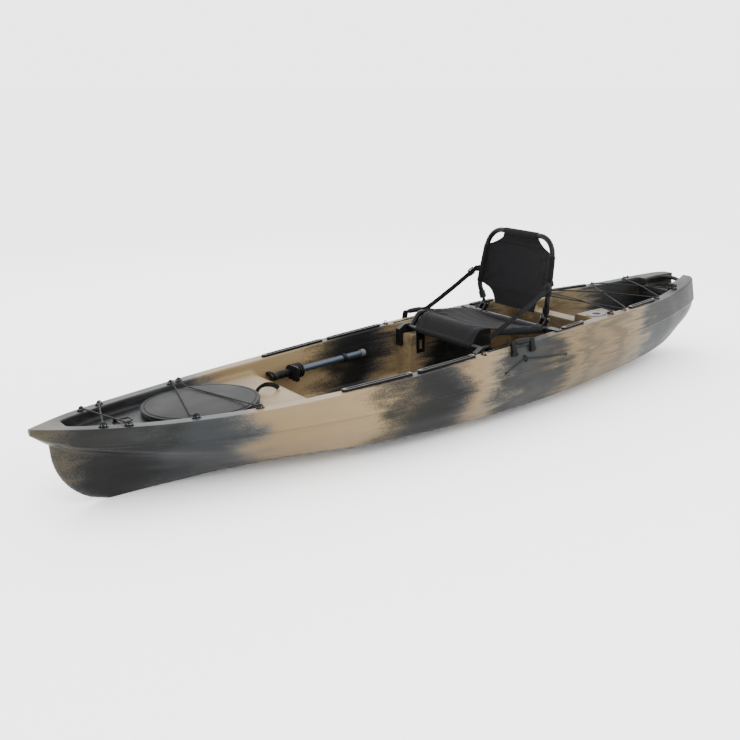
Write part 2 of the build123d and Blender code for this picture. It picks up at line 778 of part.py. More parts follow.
def make_rod_holder(side):
    """Oval flange on the moulded corner and a leaning tube, closed at its foot."""
    lean = rod_plane(side)
    deck = gunwale_plane(rod_x, side)
    top = Plane((rod_x, side * rod_y, chord(sheer, rod_x) + gap), x_dir=(1, 0, 0),
                z_dir=(deck.z_dir.X, 0, deck.z_dir.Z))
    with BuildPart() as holder:
        with BuildSketch(lean.offset(-rod_depth)):
            Circle(rod_tube / 2)
        extrude(amount=rod_depth + 40)
        split(bisect_by=top, keep=Keep.BOTTOM)
        with BuildSketch(top):
            Ellipse(flange_long / 2, flange_wide / 2)
        extrude(amount=flange_thick, taper=20)
        with BuildSketch(lean.offset(-rod_depth + 4)):
            Circle(rod_bore / 2)
        extrude(amount=rod_depth + 60, mode=Mode.SUBTRACT)
    return holder.part


for side_name, side in sides.items():
    save(make_rod_holder(side), f"rod_holder_{side_name}")

# ---------------------------------------------------------------- foot braces
rail_z = 243.0
rail_tube = 30.0
rail_ahead = Vector(-728, 218, rail_z)     # starboard line of the brace, bow end
rail_astern = Vector(-212, 286, rail_z)
pedal_travel = 180.0
pedal_long = 62.0
rack_long = 128.0
clip_x = (-706.0, -318.0)


def along_rail(distance, side):
    run = (rail_astern - rail_ahead).normalized()
    point = rail_ahead + run * distance
    return Vector(point.X, side * point.Y, point.Z)


rail_length = (rail_astern - rail_ahead).length


def collar(side, start, end, outside, bore=0.0):
    return rod(along_rail(start, side), along_rail(end, side), outside, bore)


def make_rack(side):
    """Ribbed bar at the bow end, which the pedal's catch steps along."""
    bar = collar(side, 0, rack_long, rail_tube - 4)
    for k in range(7):
        bar += collar(side, 34 + 9.5 * k, 39 + 9.5 * k, rail_tube + 4)
    return bar


def make_pedal(side):
    """Foot pedal: a sleeve with two ribbed pads and a toe plate, sliding on the tube."""
    start = rack_long - 26.0
    bore = rail_tube + 0.6
    body = collar(side, start, start + pedal_long, rail_tube + 14)
    for k in range(5):
        body += collar(side, start + 4 + 12 * k, start + 10 + 12 * k, rail_tube + 36)
    centre = along_rail(start + pedal_long / 2, side)
    run = along_rail(1, side) - along_rail(0, side)
    inboard = run.cross(Vector(0, 0, side)).normalized()
    toe = Plane(centre - run * (pedal_long / 2), x_dir=Vector(0, 0, 1), z_dir=run)
    with BuildPart() as plate_part:
        with BuildSketch(toe):
            with Locations(toe.to_local_coords(toe.origin + inboard * 34)):
                RectangleRounded(66, 46, 10)
        extrude(amount=9)
    body += plate_part.part
    return body - collar(side, start - 5, start + pedal_long + 5, bore)


def wall_y(x):
    """Half breadth of the cockpit wall at the height of the rail."""
    share = (rail_z - cockpit_floor) / (sheer(x) + 80.0 - cockpit_floor)
    return deck_inside(x) - ledge * (1 - share)


def make_clip(side, x):
    """Clip round the rail with a foot on the cockpit wall."""
    share = (x - rail_ahead.X) / (rail_astern.X - rail_ahead.X)
    distance = share * rail_length
    ring_bore = (rail_tube if x > -500 else rail_tube - 4) + 0.2
    ring = collar(side, distance - 9, distance + 9, ring_bore + 10)
    rail_y = along_rail(distance, side).Y
    foot_y = side * (wall_y(x) - 2.0)
    y0, y1 = sorted((rail_y, foot_y))
    ring += slab(x - 9, x + 9, y0, y1, rail_z - 7, rail_z + 7)
    return ring - collar(side, distance - 40, distance + 40, ring_bore)


for side_name, side in sides.items():
    save(collar(side, rack_long + 0.2, rail_length, rail_tube, rail_tube - 4), f"foot_rail_{side_name}")
    save(make_rack(side), f"foot_rack_{side_name}")
    save(make_pedal(side), f"foot_pedal_{side_name}")
caps = []
for side in (1, -1):
    cap = collar(side, rail_length - 6, rail_length + 22, rail_tube + 5)
    cap = fillet(cap.edges().filter_by(GeomType.CIRCLE).sort_by(Axis.X)[-1:], 8.0)
    caps.append(cap - collar(side, rail_length - 8, rail_length + 0.3, rail_tube + 0.3))
save_group(caps, "foot_rail_knobs")
save_group([make_clip(side, x) for side in (1, -1) for x in clip_x], "foot_rail_clips")


# ---------------------------------------------------------------- seat
front_bar_x = 54.0
front_bar_z = 332.0
front_bar_half = 290.0
rear_bar_x = 462.0
rear_bar_z = 350.0
rear_bar = 30.0
rear_bar_half = 291.0
rail_half = 246.0          # half breadth of the seat pan's side rails
pan_front_x = 104.0
pan_front_z = 396.0
hinge_x = 494.0
hinge_z = 392.0
hinge_half = 208.0
hinge_bolt = 8.0
back_waist = Vector(478, 234, 490)
back_top = Vector(530, 214, 764)
sling = 4.0                # thickness of the seat fabric as a solid


def make_pan_frame():
    """Front bar and the two side rails that rise from it and run aft to the rear bar."""
    frame = rod((front_bar_x, -front_bar_half, front_bar_z), (front_bar_x, front_bar_half, front_bar_z),
                tube, tube - 2 * tube_wall)
    front_bar = rod((front_bar_x, -front_bar_half, front_bar_z),
                    (front_bar_x, front_bar_half, front_bar_z), tube)
    rear_hole = rod((rear_bar_x, -rear_bar_half, rear_bar_z), (rear_bar_x, rear_bar_half, rear_bar_z),
                    rear_bar + 2 * gap)
    for side in (1, -1):
        y = side * rail_half
        points = [(rear_bar_x, y, rear_bar_z), (pan_front_x, y, pan_front_z), (front_bar_x, y, front_bar_z)]
        side_rail = bent(points, 34.0, tube)
        frame += side_rail - front_bar - rear_hole
    return frame


def pan_surface(x):
    """Height of the top of the side rails at x."""
    share = (x - pan_front_x) / (rear_bar_x - pan_front_x)
    return pan_front_z + (rear_bar_z - pan_front_z) * share + tube / 2


save(make_pan_frame(), "seat_pan_frame")
save(rod((rear_bar_x, -rear_bar_half, rear_bar_z), (rear_bar_x, rear_bar_half, rear_bar_z),
         rear_bar, rear_bar - 2 * tube_wall), "seat_rear_bar")


tab_half = 19.0             # the rear brackets' drilled tabs on the gunwale
tab_thick = 4.0
tab_hole = 7.0
snug = 0.2                 # added to a bar's diameter where a bracket is bored for it


def make_front_bracket(side):
    """Moulded saddle under the front bar that hooks over the front of the riser."""
    y0, y1 = sorted((side * (rail_half + tube / 2 + 2.5), side * (front_bar_half - 2)))
    hook_front = riser_front - gap - 20
    outline = [(hook_front, riser_top - 58), (riser_front - gap, riser_top - 58),
               (riser_front - gap, riser_top + gap), (98, riser_top + gap), (98, riser_top + 12),
               (78, front_bar_z + 16), (front_bar_x - 24, front_bar_z + 16), (hook_front, front_bar_z - 4)]
    bracket = plate(Plane.XZ.offset(-y1), outline, y1 - y0)
    return bracket - rod((front_bar_x, -front_bar_half - 5, front_bar_z),
                         (front_bar_x, front_bar_half + 5, front_bar_z), tube + snug)


leg_low = 215.0
leg_thick = 9.0


def make_leg(side):
    """Flat slotted leg that hangs from the front bar inside the riser and steadies the seat."""
    outside = side * (riser_inside - gap)
    front = front_bar_x - 4
    back = front_bar_x + 42
    outline = [(front, front_bar_z), (front_bar_x + 15, front_bar_z + 10), (back, front_bar_z - 20),
               (back, leg_low), (front, leg_low)]
    y0, y1 = sorted((outside, outside - side * leg_thick))
    leg = plate(Plane.XZ.offset(-y1), outline, y1 - y0)
    leg -= slab(front + 14, back - 12, y0 - 1, y1 + 1, leg_low + 16, leg_low + 62)
    return leg - rod((front_bar_x, -front_bar_half, front_bar_z), (front_bar_x, front_bar_half, front_bar_z),
                     tube + snug)


def make_rear_bracket(side):
    """Block between the riser and the rear bar, with a drilled tab on the gunwale."""
    block_inside = rail_half + tube / 2 + 2
    block_outside = rear_bar_half + 2
    y0, y1 = sorted((side * block_inside, side * block_outside))
    tab_z = chord(sheer, rear_bar_x + tab_half) + gap
    top = tab_z + tab_thick
    outline = [(rear_bar_x - 30, riser_top + gap), (rear_bar_x + 30, riser_top + gap),
               (rear_bar_x + 22, top), (rear_bar_x - 22, top)]
    bracket = plate(Plane.XZ.offset(-y1), outline, y1 - y0)
    y2, y3 = sorted((side * (block_outside - 12), side * (deck_inside(rear_bar_x) + 26)))
    bracket += slab(rear_bar_x - tab_half, rear_bar_x + tab_half, y2, y3, tab_z, top)
    reach = rear_bar_half + gap
    bracket -= rod((rear_bar_x, -reach, rear_bar_z), (rear_bar_x, reach, rear_bar_z), rear_bar + snug)
    for dx in (-10, 10):
        bracket -= post(rear_bar_x + dx, side * (deck_inside(rear_bar_x) + 14), tab_z - 1, top + 1, tab_hole)
    return bracket


for side_name, side in sides.items():
    save(make_front_bracket(side), f"seat_front_bracket_{side_name}")
save_group([make_leg(side) for side in (1, -1)], "seat_front_legs")
save_group([make_rear_bracket(side) for side in (1, -1)], "seat_rear_brackets")

pan_back_x = rear_bar_x - rear_bar / 2 - 12
pan_cutout = 46.0


def make_pan_sling():
    """Fabric stretched over the rails, rolled down in front to the front bar."""
    lift = 3 * gap
    roll = tube / 2 + lift
    path = [(pan_back_x, pan_surface(pan_back_x) + lift), (pan_front_x - 2, pan_surface(pan_front_x) + lift),
            (pan_front_x - 28, pan_front_z + 2), (front_bar_x - roll - 1, front_bar_z + 4)]
    normals = [(0.12, 0.99), (-0.45, 0.9), (-0.85, 0.5), (-0.98, 0.25)]
    outer = [(x + nx * sling, z + nz * sling) for (x, z), (nx, nz) in zip(path, normals)]
    wide = rail_half + tube / 2
    pan = plate(Plane.XZ.offset(-wide), path + outer[::-1], 2 * wide)
    for side in (1, -1):
        y0, y1 = sorted((side * (rail_half - pan_cutout), side * (wide + 5)))
        pan -= slab(front_bar_x - 60, pan_front_x + 14, y0, y1, front_bar_z - 40, pan_front_z + 60)
    return pan


save(make_pan_sling(), "seat_pan_sling")


def back_side(z):
    """Half breadth of the back frame's centre line at height z, below its top corners."""
    foot = Vector(hinge_x, hinge_half, hinge_z)
    low, high = (foot, back_waist) if z < back_waist.Z else (back_waist, back_top)
    share = (z - low.Z) / (high.Z - low.Z)
    return low + (high - low) * share


ferrule = 33.0             # sleeve at each foot of the back tube; lengths run up from the hinge bolt
ferrule_low = 30.0
ferrule_foot = 35.0        # where the tube's end stands inside the sleeve
ferrule_high = 64.0
ferrule_neck = 15.0
hinge_eye = 26.0
hinge_slot = 12.5          # half of the space between a bracket's cheeks
cheek = 6.5
corner = 92.0              # bend radius of the back's top corners


pin_play = 0.1             # added to a pin's diameter in the eye that turns on it


def make_back_frame():
    """Upside-down U of tube, splayed at the waist, with rounded top corners."""
    run = (back_waist - Vector(hinge_x, hinge_half, hinge_z)).normalized()
    foot = Vector(hinge_x, hinge_half, hinge_z) + run * ferrule_foot
    points = [foot, back_waist, back_top]
    mirrored = [Vector(p.X, -p.Y, p.Z) for p in points]
    path = points + mirrored[::-1]
    return bent(path, corner, tube, tube - 2 * tube_wall)


def make_ferrule(side):
    """End fitting of the back tube, with the eye for the hinge bolt."""
    foot = Vector(hinge_x, side * hinge_half, hinge_z)
    waist = Vector(back_waist.X, side * back_waist.Y, back_waist.Z)
    run = (waist - foot).normalized()
    sleeve = rod(foot + run * ferrule_low, foot + run * ferrule_high, ferrule)
    sleeve -= rod(foot + run * (ferrule_foot - gap), foot + run * (ferrule_high + 1), tube + snug)
    neck = rod(foot, foot + run * (ferrule_low + 2), ferrule_neck)
    half_eye = Vector(0, hinge_slot - 1.5, 0)
    eye = rod(foot - half_eye, foot + half_eye, hinge_eye)
    body = sleeve + neck + eye
    return body - rod(foot - half_eye * 2, foot + half_eye * 2, hinge_bolt + pin_play)


def make_hinge_bracket(side):
    """Two cheeks rising from a saddle on the rear bar, either side of the ferrule's eye."""
    y = side * hinge_half
    reach = hinge_slot + cheek
    bar_end = Vector(rear_bar_x, 0, rear_bar_z)
    rise = (Vector(hinge_x, 0, hinge_z) - bar_end)
    across = Vector(-rise.Z, 0, rise.X).normalized() * 11.0
    tip = bar_end + rise + rise.normalized() * 12.0
    corners = [bar_end + across, tip + across, tip - across, bar_end - across]
    outline = [(corner_point.X, corner_point.Z) for corner_point in corners]
    bracket = rod((rear_bar_x, y - reach, rear_bar_z), (rear_bar_x, y + reach, rear_bar_z), rear_bar + 9)
    for low in (y - reach, y + hinge_slot):
        bracket += plate(Plane.XZ.offset(-low - cheek), outline, cheek)
    bracket -= rod((rear_bar_x, -rear_bar_half, rear_bar_z), (rear_bar_x, rear_bar_half, rear_bar_z),
                   rear_bar + snug)
    return bracket - rod((hinge_x, y - 40, hinge_z), (hinge_x, y + 40, hinge_z), hinge_bolt + pin_play)


def make_hinge_bolt(side):
    y = side * hinge_half
    face = hinge_slot + cheek + gap
    bolt = rod((hinge_x, y - face - 2, hinge_z), (hinge_x, y + face + 2, hinge_z), hinge_bolt)
    bolt += rod((hinge_x, y + side * face, hinge_z), (hinge_x, y + side * (face + 5), hinge_z), 15)
    return bolt + rod((hinge_x, y - side * face, hinge_z), (hinge_x, y - side * (face + 6), hinge_z), 13)


save(make_back_frame(), "seat_back_frame")
save_group([make_ferrule(side) for side in (1, -1)], "seat_back_ferrules")
save_group([make_hinge_bracket(side) for side in (1, -1)], "seat_hinge_brackets")
save_group([make_hinge_bolt(side) for side in (1, -1)], "seat_hinge_bolts")

back_low_z = 424.0
back_cut_low = 478.0
back_cut_high = 682.0


def make_back_sling():
    """Fabric between the back tubes, cut away at the top corners and at the lower sides."""
    top_z = back_top.Z - tube / 2 - gap
    inside = tube / 2 + 2.0
    levels = [back_low_z, back_waist.Z, top_z]
    profile = [(back_side(z).X, z) for z in levels]
    with BuildPart() as sheet:
        with BuildSketch(Plane.XZ.offset(-300)):
            front = [(x - sling / 2, z) for x, z in profile]
            back = [(x + sling / 2, z) for x, z in profile[::-1]]
            Polygon(*front, *back, align=None)
        extrude(amount=600)
    half_outline = [(120, back_low_z), (150, back_low_z + 40),
                    (back_side(back_cut_low).Y - inside, back_cut_low),
                    (back_waist.Y - inside, back_waist.Z),
                    (back_side(back_cut_high - 20).Y - inside, back_cut_high - 20),
                    (back_side(back_cut_high).Y - inside - 18, back_cut_high),
                    (118, top_z - 20), (110, top_z)]
    outline = half_outline + [(-y, z) for y, z in half_outline[::-1]]
    return sheet.part & plate(Plane.YZ.offset(300), outline, 400)


save(make_back_sling(), "seat_back_sling")

strap_wide = 25.0
strap_thick = 2.5
strap_high = 566.0
strap_y = max(rail_half, back_side(strap_high).Y) + tube / 2 + gap + strap_thick / 2
strap_end = Vector(back_side(strap_high).X, strap_y, strap_high)
strap_start = Vector(pan_front_x - 18, strap_y, pan_front_z - 18)
buckle_share = 0.86


def flat_bar(start, end, wide, thick):
    """Flat strip on edge between two points of equal Y."""
    with BuildPart() as strip:
        with BuildSketch(Plane(start, x_dir=(0, 1, 0), z_dir=end - start)):
            Rectangle(thick, wide)
        extrude(amount=(end - start).length)
    return strip.part


def make_strap(side):
    start = Vector(strap_start.X, side * strap_y, strap_start.Z)
    end = Vector(strap_end.X, side * strap_y, strap_end.Z)
    return flat_bar(start, end, strap_wide, strap_thick)


def make_buckle(side):
    start = Vector(strap_start.X, side * strap_y, strap_start.Z)
    end = Vector(strap_end.X, side * strap_y, strap_end.Z)
    run = end - start
    near = start + run * buckle_share
    frame = flat_bar(near, near + run.normalized() * 34, strap_wide + 9, 8.0)
    ahead = run.normalized()
    return frame - flat_bar(near - ahead * 5, near + ahead * 50, strap_wide + 1, strap_thick + 1)


for side_name, side in sides.items():
    save(make_strap(side), f"seat_strap_{side_name}")
save_group([make_buckle(side) for side in (1, -1)], "seat_strap_buckles")

# ---------------------------------------------------------------- side handles
grip_x = (136.0, 222.0)
grip_tube = 26.0
core = 10.0
web_wide = 24.0
web_thick = 2.5
handle_share = 0.20        # of the way down the side band, where the handles are anchored
pivot_off = 9.0
pivot_pin = 6.0
web_x = (grip_x[0] - 1 - web_wide / 2, grip_x[1] + 1 + web_wide / 2)


def handle_pivot(side):
    point = band_point((grip_x[0] + grip_x[1]) / 2, handle_share, pivot_off)
    return Vector(0, side * point.Y, point.Z)


def grip_centre(side):
    x = (grip_x[0] + grip_x[1]) / 2
    return Vector(0, side * (chord(gunwale, x) + 9), chord(sheer, x) + 24)


def at_x(point, x):
    return Vector(x, point.Y, point.Z)


def make_grip(side):
    """Moulded grip with finger rings on a stiff core."""
    centre = grip_centre(side)
    grip = rod(at_x(centre, grip_x[0]), at_x(centre, grip_x[1]), grip_tube)
    grip = fillet(grip.edges().filter_by(GeomType.CIRCLE), 5.0)
    start = at_x(centre, web_x[0] - web_wide / 2 - 3)
    return grip + rod(start, at_x(centre, web_x[1] + web_wide / 2 + 3), core)


def make_webbing(side):
    """Two stiff webbing links, each sewn round the anchor pin and round the grip's core."""
    links = []
    low = handle_pivot(side)
    high = grip_centre(side)
    for x in web_x:
        x0, x1 = x - web_wide / 2, x + web_wide / 2
        link = flat_web(at_x(low, x), at_x(high, x))
        link += rod(at_x(low, x0), at_x(low, x1), pivot_pin + 5)
        link += rod(at_x(high, x0), at_x(high, x1), core + 6)
        link -= rod(at_x(low, x0 - 1), at_x(low, x1 + 1), pivot_pin + 2 * pin_clear)
        links.append(link - rod(at_x(high, x0 - 1), at_x(high, x1 + 1), core + 0.2))
    return links


def flat_web(start, end):
    with BuildPart() as web:
        with BuildSketch(Plane(start, x_dir=(1, 0, 0), z_dir=end - start)):
            Rectangle(web_wide, web_thick)
        extrude(amount=(end - start).length)
    return web.part


def band_plane(x, share, side):
    """Plane on the side band; its x runs down the band, its z points out."""
    here = band_point(x, share, 0)
    lower = band_point(x, share + 0.1, 0)
    ahead = band_point(x + 5, share, 0)
    down = Vector(0, side * (lower.Y - here.Y), lower.Z - here.Z)
    along = Vector(5, side * (ahead.Y - here.Y), ahead.Z - here.Z)
    normal = along.cross(down) if side > 0 else down.cross(along)
    if normal.Z < 0:
        normal = normal * -1
    return Plane((x, side * here.Y, here.Z), x_dir=down, z_dir=normal)


def make_anchor(side, x):
    """Plate screwed to the side band, with two ears and the pin."""
    base = band_plane(x, handle_share, side)
    low = handle_pivot(side)
    with BuildPart() as anchor:
        with BuildSketch(base.offset(gap)):
            RectangleRounded(20, web_wide + 10, 4)
        extrude(amount=2.0)
        for end in (-1, 1):
            with BuildSketch(base.offset(gap)):
                with Locations((0, end * (web_wide / 2 + 3.0))):
                    Rectangle(12, 3)
            extrude(amount=pivot_off + 4)
    pin = rod(at_x(low, x - web_wide / 2 - 4), at_x(low, x + web_wide / 2 + 4), pivot_pin)
    return anchor.part + pin


anchors = []
for side_name, side in sides.items():
    save(make_grip(side), f"side_handle_grip_{side_name}")
    save_group(make_webbing(side), f"side_handle_webbing_{side_name}")
    anchors.extend(make_anchor(side, x) for x in web_x)
save_group(anchors, "side_handle_anchors")

# ---------------------------------------------------------------- gunwale strips, paddle keeper, foam
strip_run = (14.0, 244.0)
strips = []
for side in (1, -1):
    base = gunwale_plane(sum(strip_run) / 2, side, rim - 9.0)
    with BuildPart() as strip:
        with BuildSketch(base.offset(gap)):
            SlotOverall(strip_run[1] - strip_run[0], 9)
        extrude(amount=3.5)
    strips.append(strip.part)
save_group(strips, "gunwale_strips")

keeper_x = 180.0
keeper_share = 0.47
keeper_ends = (45.0, 428.0)
keeper_end_share = 0.80
keeper_cord = 5.0


def make_keeper_bungee():
    """Shock cord on the port side band that holds a paddle's shaft, with a knot at each end."""
    off = keeper_cord / 2 + 2.2
    over_eye = gap + eye_base + 5.0
    fore = band_point(keeper_ends[0], keeper_end_share, off)
    aft = band_point(keeper_ends[1], keeper_end_share, off)
    turn_x = mid_stations[3]
    rise = keeper_end_share - keeper_share
    share = keeper_share + rise * (turn_x - keeper_x) / (keeper_ends[1] - keeper_x)
    stops = [fore, band_point(keeper_x - 11, keeper_share, over_eye),
             band_point(keeper_x + 11, keeper_share, over_eye), band_point(turn_x, share, off), aft]
    stops = [Vector(p.X, -p.Y, p.Z) for p in stops]
    cord = bent(stops, 60.0, keeper_cord)
    for end in (stops[0], stops[-1]):
        with BuildPart() as ball:
            with Locations(end):
                Sphere(keeper_cord / 2 + 1.9)
        cord += ball.part
    return cord


save(make_keeper_bungee(), "paddle_keeper_bungee")
save(pad_eye(band_plane(keeper_x, keeper_share, -1)), "paddle_keeper_eye")
foam_low = 34.0
save(slab(rod_block_back - 30, mid_stations[-1], -52, 52, foam_low, well_floor - wall - gap), "foam_block")
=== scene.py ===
"""The looks of a sit-on-top angling kayak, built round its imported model.

Metres.  The bow is at -X, the stern at +X, +Y is starboard and +Z is up; the origin is
on the ground under the keel, amidships.  The hull lines are the same fair curves that
the model uses, so every surface here lies where the model's does.
"""
import json
import math

import bmesh
import bpy
import numpy as np
from mathutils import Matrix, Vector


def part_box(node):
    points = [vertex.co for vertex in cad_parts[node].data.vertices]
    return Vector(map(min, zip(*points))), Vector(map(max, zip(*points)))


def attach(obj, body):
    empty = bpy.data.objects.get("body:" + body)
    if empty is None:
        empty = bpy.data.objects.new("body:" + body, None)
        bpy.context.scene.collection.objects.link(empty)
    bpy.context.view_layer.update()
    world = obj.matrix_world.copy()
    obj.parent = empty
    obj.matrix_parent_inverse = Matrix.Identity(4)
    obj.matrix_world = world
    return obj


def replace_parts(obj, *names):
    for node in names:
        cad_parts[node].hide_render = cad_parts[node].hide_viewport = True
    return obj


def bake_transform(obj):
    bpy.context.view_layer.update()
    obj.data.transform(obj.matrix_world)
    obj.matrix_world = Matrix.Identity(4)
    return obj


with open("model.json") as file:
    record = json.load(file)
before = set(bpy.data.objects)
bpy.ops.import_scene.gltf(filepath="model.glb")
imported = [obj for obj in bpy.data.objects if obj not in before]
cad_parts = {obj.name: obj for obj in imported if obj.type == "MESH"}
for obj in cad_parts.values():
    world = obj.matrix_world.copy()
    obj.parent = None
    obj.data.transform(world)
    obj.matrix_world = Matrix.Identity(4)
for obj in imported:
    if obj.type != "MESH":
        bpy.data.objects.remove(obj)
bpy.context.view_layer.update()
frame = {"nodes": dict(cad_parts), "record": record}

mm = 0.001

# ---------------------------------------------------------------- sizes shared with the model
half = 1.778
half_beam = 0.432
rim = 0.046
knuckle_out = 0.058
keel_half = 0.048
tube = 0.025
shock_cord_width = 0.006
cockpit_front = -0.800
ramp = 0.170
cockpit_back = 0.740
cockpit_floor = 0.092
bulkhead_top = 0.330
well_front = 0.830
well_floor = 0.190
well_back = half - 0.190
bow_deck_drop = 0.042
bow_recess_front = -half + 0.120
ledge = 0.024
bow_ledge = 0.005
well_ledge = 0.026
riser_front = 0.015
riser_back = 0.520
riser_inside = 0.205
riser_top = 0.305
rod_block_back = 0.940
rod_block_inside = 0.165
stern_slot_half = 0.078
stern_slot_floor = 0.352
hatch_x = -1.150
hatch_long = 0.446
hatch_wide = 0.404
hatch_flange = 0.034
rod_x, rod_y, rod_tilt = 0.812, 0.245, math.radians(14)
scuppers = [(-0.470, 0.120), (0.600, 0.120), (1.000, 0.095), (1.330, 0.075)]
drain_x = 1.655
eye_height = 0.0093        # centre of a cord in a pad-eye, above the gunwale
scupper_radius, drain_radius, rod_hole_radius = 0.015, 0.011, 0.0246
beak_length = 0.061
sleeve_radius, sleeve_end = 0.0150, 0.0129   # cloth round a seat tube, and at the sleeve's ends
binding_radius = 0.0024
strap_wide, strap_thick = 0.025, 0.0022
link_wide, link_thick = 0.024, 0.0020

# ---------------------------------------------------------------- hull lines: (share of half length, value)
gunwale_line = [(-1.0, 0.02), (-0.9, 0.27), (-0.73, 0.53), (-0.5, 0.74), (-0.15, 0.855),
                (0.15, 0.845), (0.5, 0.735), (0.75, 0.585), (0.9, 0.42), (0.97, 0.31), (1.0, 0.24)]
knuckle_step = [(-1.0, 0.35), (-0.94, 0.72), (-0.73, 0.45), (-0.5, 0.45), (-0.2, 0.9),
                (0.3, 1.0), (0.7, 0.8), (1.0, 0.4)]
chine_line = [(-1.0, 0.02), (-0.92, 0.13), (-0.73, 0.38), (-0.55, 0.56), (-0.3, 0.74), (0.0, 0.80),
              (0.3, 0.76), (0.6, 0.60), (0.8, 0.45), (0.93, 0.25), (1.0, 0.12)]
sheer_line = [(-1.0, 322.0), (-0.73, 304.0), (-0.4, 310.0), (0.0, 341.0), (0.4, 368.0), (0.75, 374.0),
              (1.0, 412.0)]
knuckle_height = [(-1.0, 292.0), (-0.9, 262.0), (-0.7, 236.0), (-0.4, 222.0), (0.0, 242.0),
                  (0.4, 262.0), (0.75, 288.0), (1.0, 300.0)]
chine_height = [(-1.0, 262.0), (-0.91, 224.0), (-0.73, 140.0), (-0.55, 96.0), (-0.3, 64.0), (0.0, 54.0),
                (0.35, 62.0), (0.7, 88.0), (0.92, 140.0), (0.97, 180.0), (1.0, 236.0)]
keel_width = [(-1.0, 0.06), (-0.8, 0.12), (-0.5, 0.6), (-0.2, 1.0), (0.4, 1.0), (0.8, 0.7), (1.0, 0.4)]
rocker = [(0.5, 0.0), (0.55, 0.0), (0.8, 20.0), (0.91, 58.0), (0.96, 100.0), (0.985, 148.0), (1.0, 205.0)]
stem_centre = (-half + 0.29075, 0.22375)   # the round stem's circle, in the side view
stem_radius = 0.2310
beak_root = (-half + beak_length, 0.248)    # where the beak's underside meets the stem
beak_tip_low = 0.298
forefoot = (-half + 0.180, 0.021)          # end of the stem's arc; a straight run goes on to the keel
forefoot_run = (0.120, 0.041)


def fair(points, share):
    """Cubic Hermite curve with centred slopes through (share, value) pairs, for an array of shares."""
    table = np.array(points)
    s, v = table[:, 0], table[:, 1]
    share = np.asarray(share, float)
    i = np.clip(np.searchsorted(s, share, side="right") - 1, 0, len(s) - 2)
    before = np.maximum(i - 1, 0)
    after = np.minimum(i + 2, len(s) - 1)
    slope0 = (v[i + 1] - v[before]) / (s[i + 1] - s[before])
    slope1 = (v[after] - v[i]) / (s[after] - s[i])
    h = s[i + 1] - s[i]
    t = np.clip((share - s[i]) / h, 0, 1)
    return (v[i] * (2 * t**3 - 3 * t**2 + 1) + slope0 * h * (t**3 - 2 * t**2 + t)
            + v[i + 1] * (3 * t**2 - 2 * t**3) + slope1 * h * (t**3 - t**2))


def gunwale(x):
    """Half breadth to the outer edge of the gunwale top."""
    return half_beam * fair(gunwale_line, np.asarray(x) / half)


def sheer(x):
    """Height of the gunwale top."""
    return mm * fair(sheer_line, np.asarray(x) / half)


def knuckle(x):
    """Half breadth at the knuckle: the gunwale's plus a fair step."""
    return gunwale(x) + knuckle_out * fair(knuckle_step, np.asarray(x) / half)


def knuckle_z(x):
    """Height of the knuckle."""
    return mm * fair(knuckle_height, np.asarray(x) / half)


def deck_inside(x):
    """Half breadth to the gunwale's inner edge."""
    return np.maximum(gunwale(x) - rim, 0.004)


def smooth(t):
    """Smoothstep of t, 0 below 0 and 1 above 1."""
    t = np.clip(t, 0, 1)
    return t * t * (3 - 2 * t)


def step(x, at, width=0.014):
    """Smooth step from 0 to 1 that is half way at `at`."""
    return smooth((np.asarray(x) - at) / width + 0.5)


def bump(t):
    """Round bump: 1 at t = 0, 0 beyond -1 and 1."""
    return smooth(1 - np.abs(t))


# ---------------------------------------------------------------- camera and light
def make_camera():
    """Three-quarter view from the port bow, from a little above the gunwale."""
    azimuth, elevation = math.radians(-39.4), math.radians(16.88)
    distance = 4.255
    aim = Vector((0, 0, 0.2))
    back = Vector((math.sin(azimuth) * math.cos(elevation), -math.cos(azimuth) * math.cos(elevation),
                   math.sin(elevation)))
    right = Vector((math.cos(azimuth), math.sin(azimuth), 0))
    up = back.cross(right)
    lens = bpy.data.cameras.new("camera")
    lens.sensor_width = 36
    lens.lens = 45.24
    lens.shift_x = -0.088
    lens.shift_y = -0.0038
    camera = bpy.data.objects.new("camera", lens)
    place = Matrix((right, up, back)).transposed().to_4x4()
    place.translation = aim + back * distance
    camera.matrix_world = place
    bpy.context.scene.collection.objects.link(camera)
    bpy.context.scene.camera = camera


def area_light(name, place, aim, size, power):
    """Rectangular lamp at a place, turned to its aim."""
    light = bpy.data.lights.new(name, "AREA")
    light.shape = "RECTANGLE"
    light.size, light.size_y = size
    light.energy = power
    lamp = bpy.data.objects.new(name, light)
    turn = (Vector(aim) - Vector(place)).to_track_quat("-Z", "Y")
    lamp.matrix_world = Matrix.Translation(place) @ turn.to_matrix().to_4x4()
    bpy.context.scene.collection.objects.link(lamp)


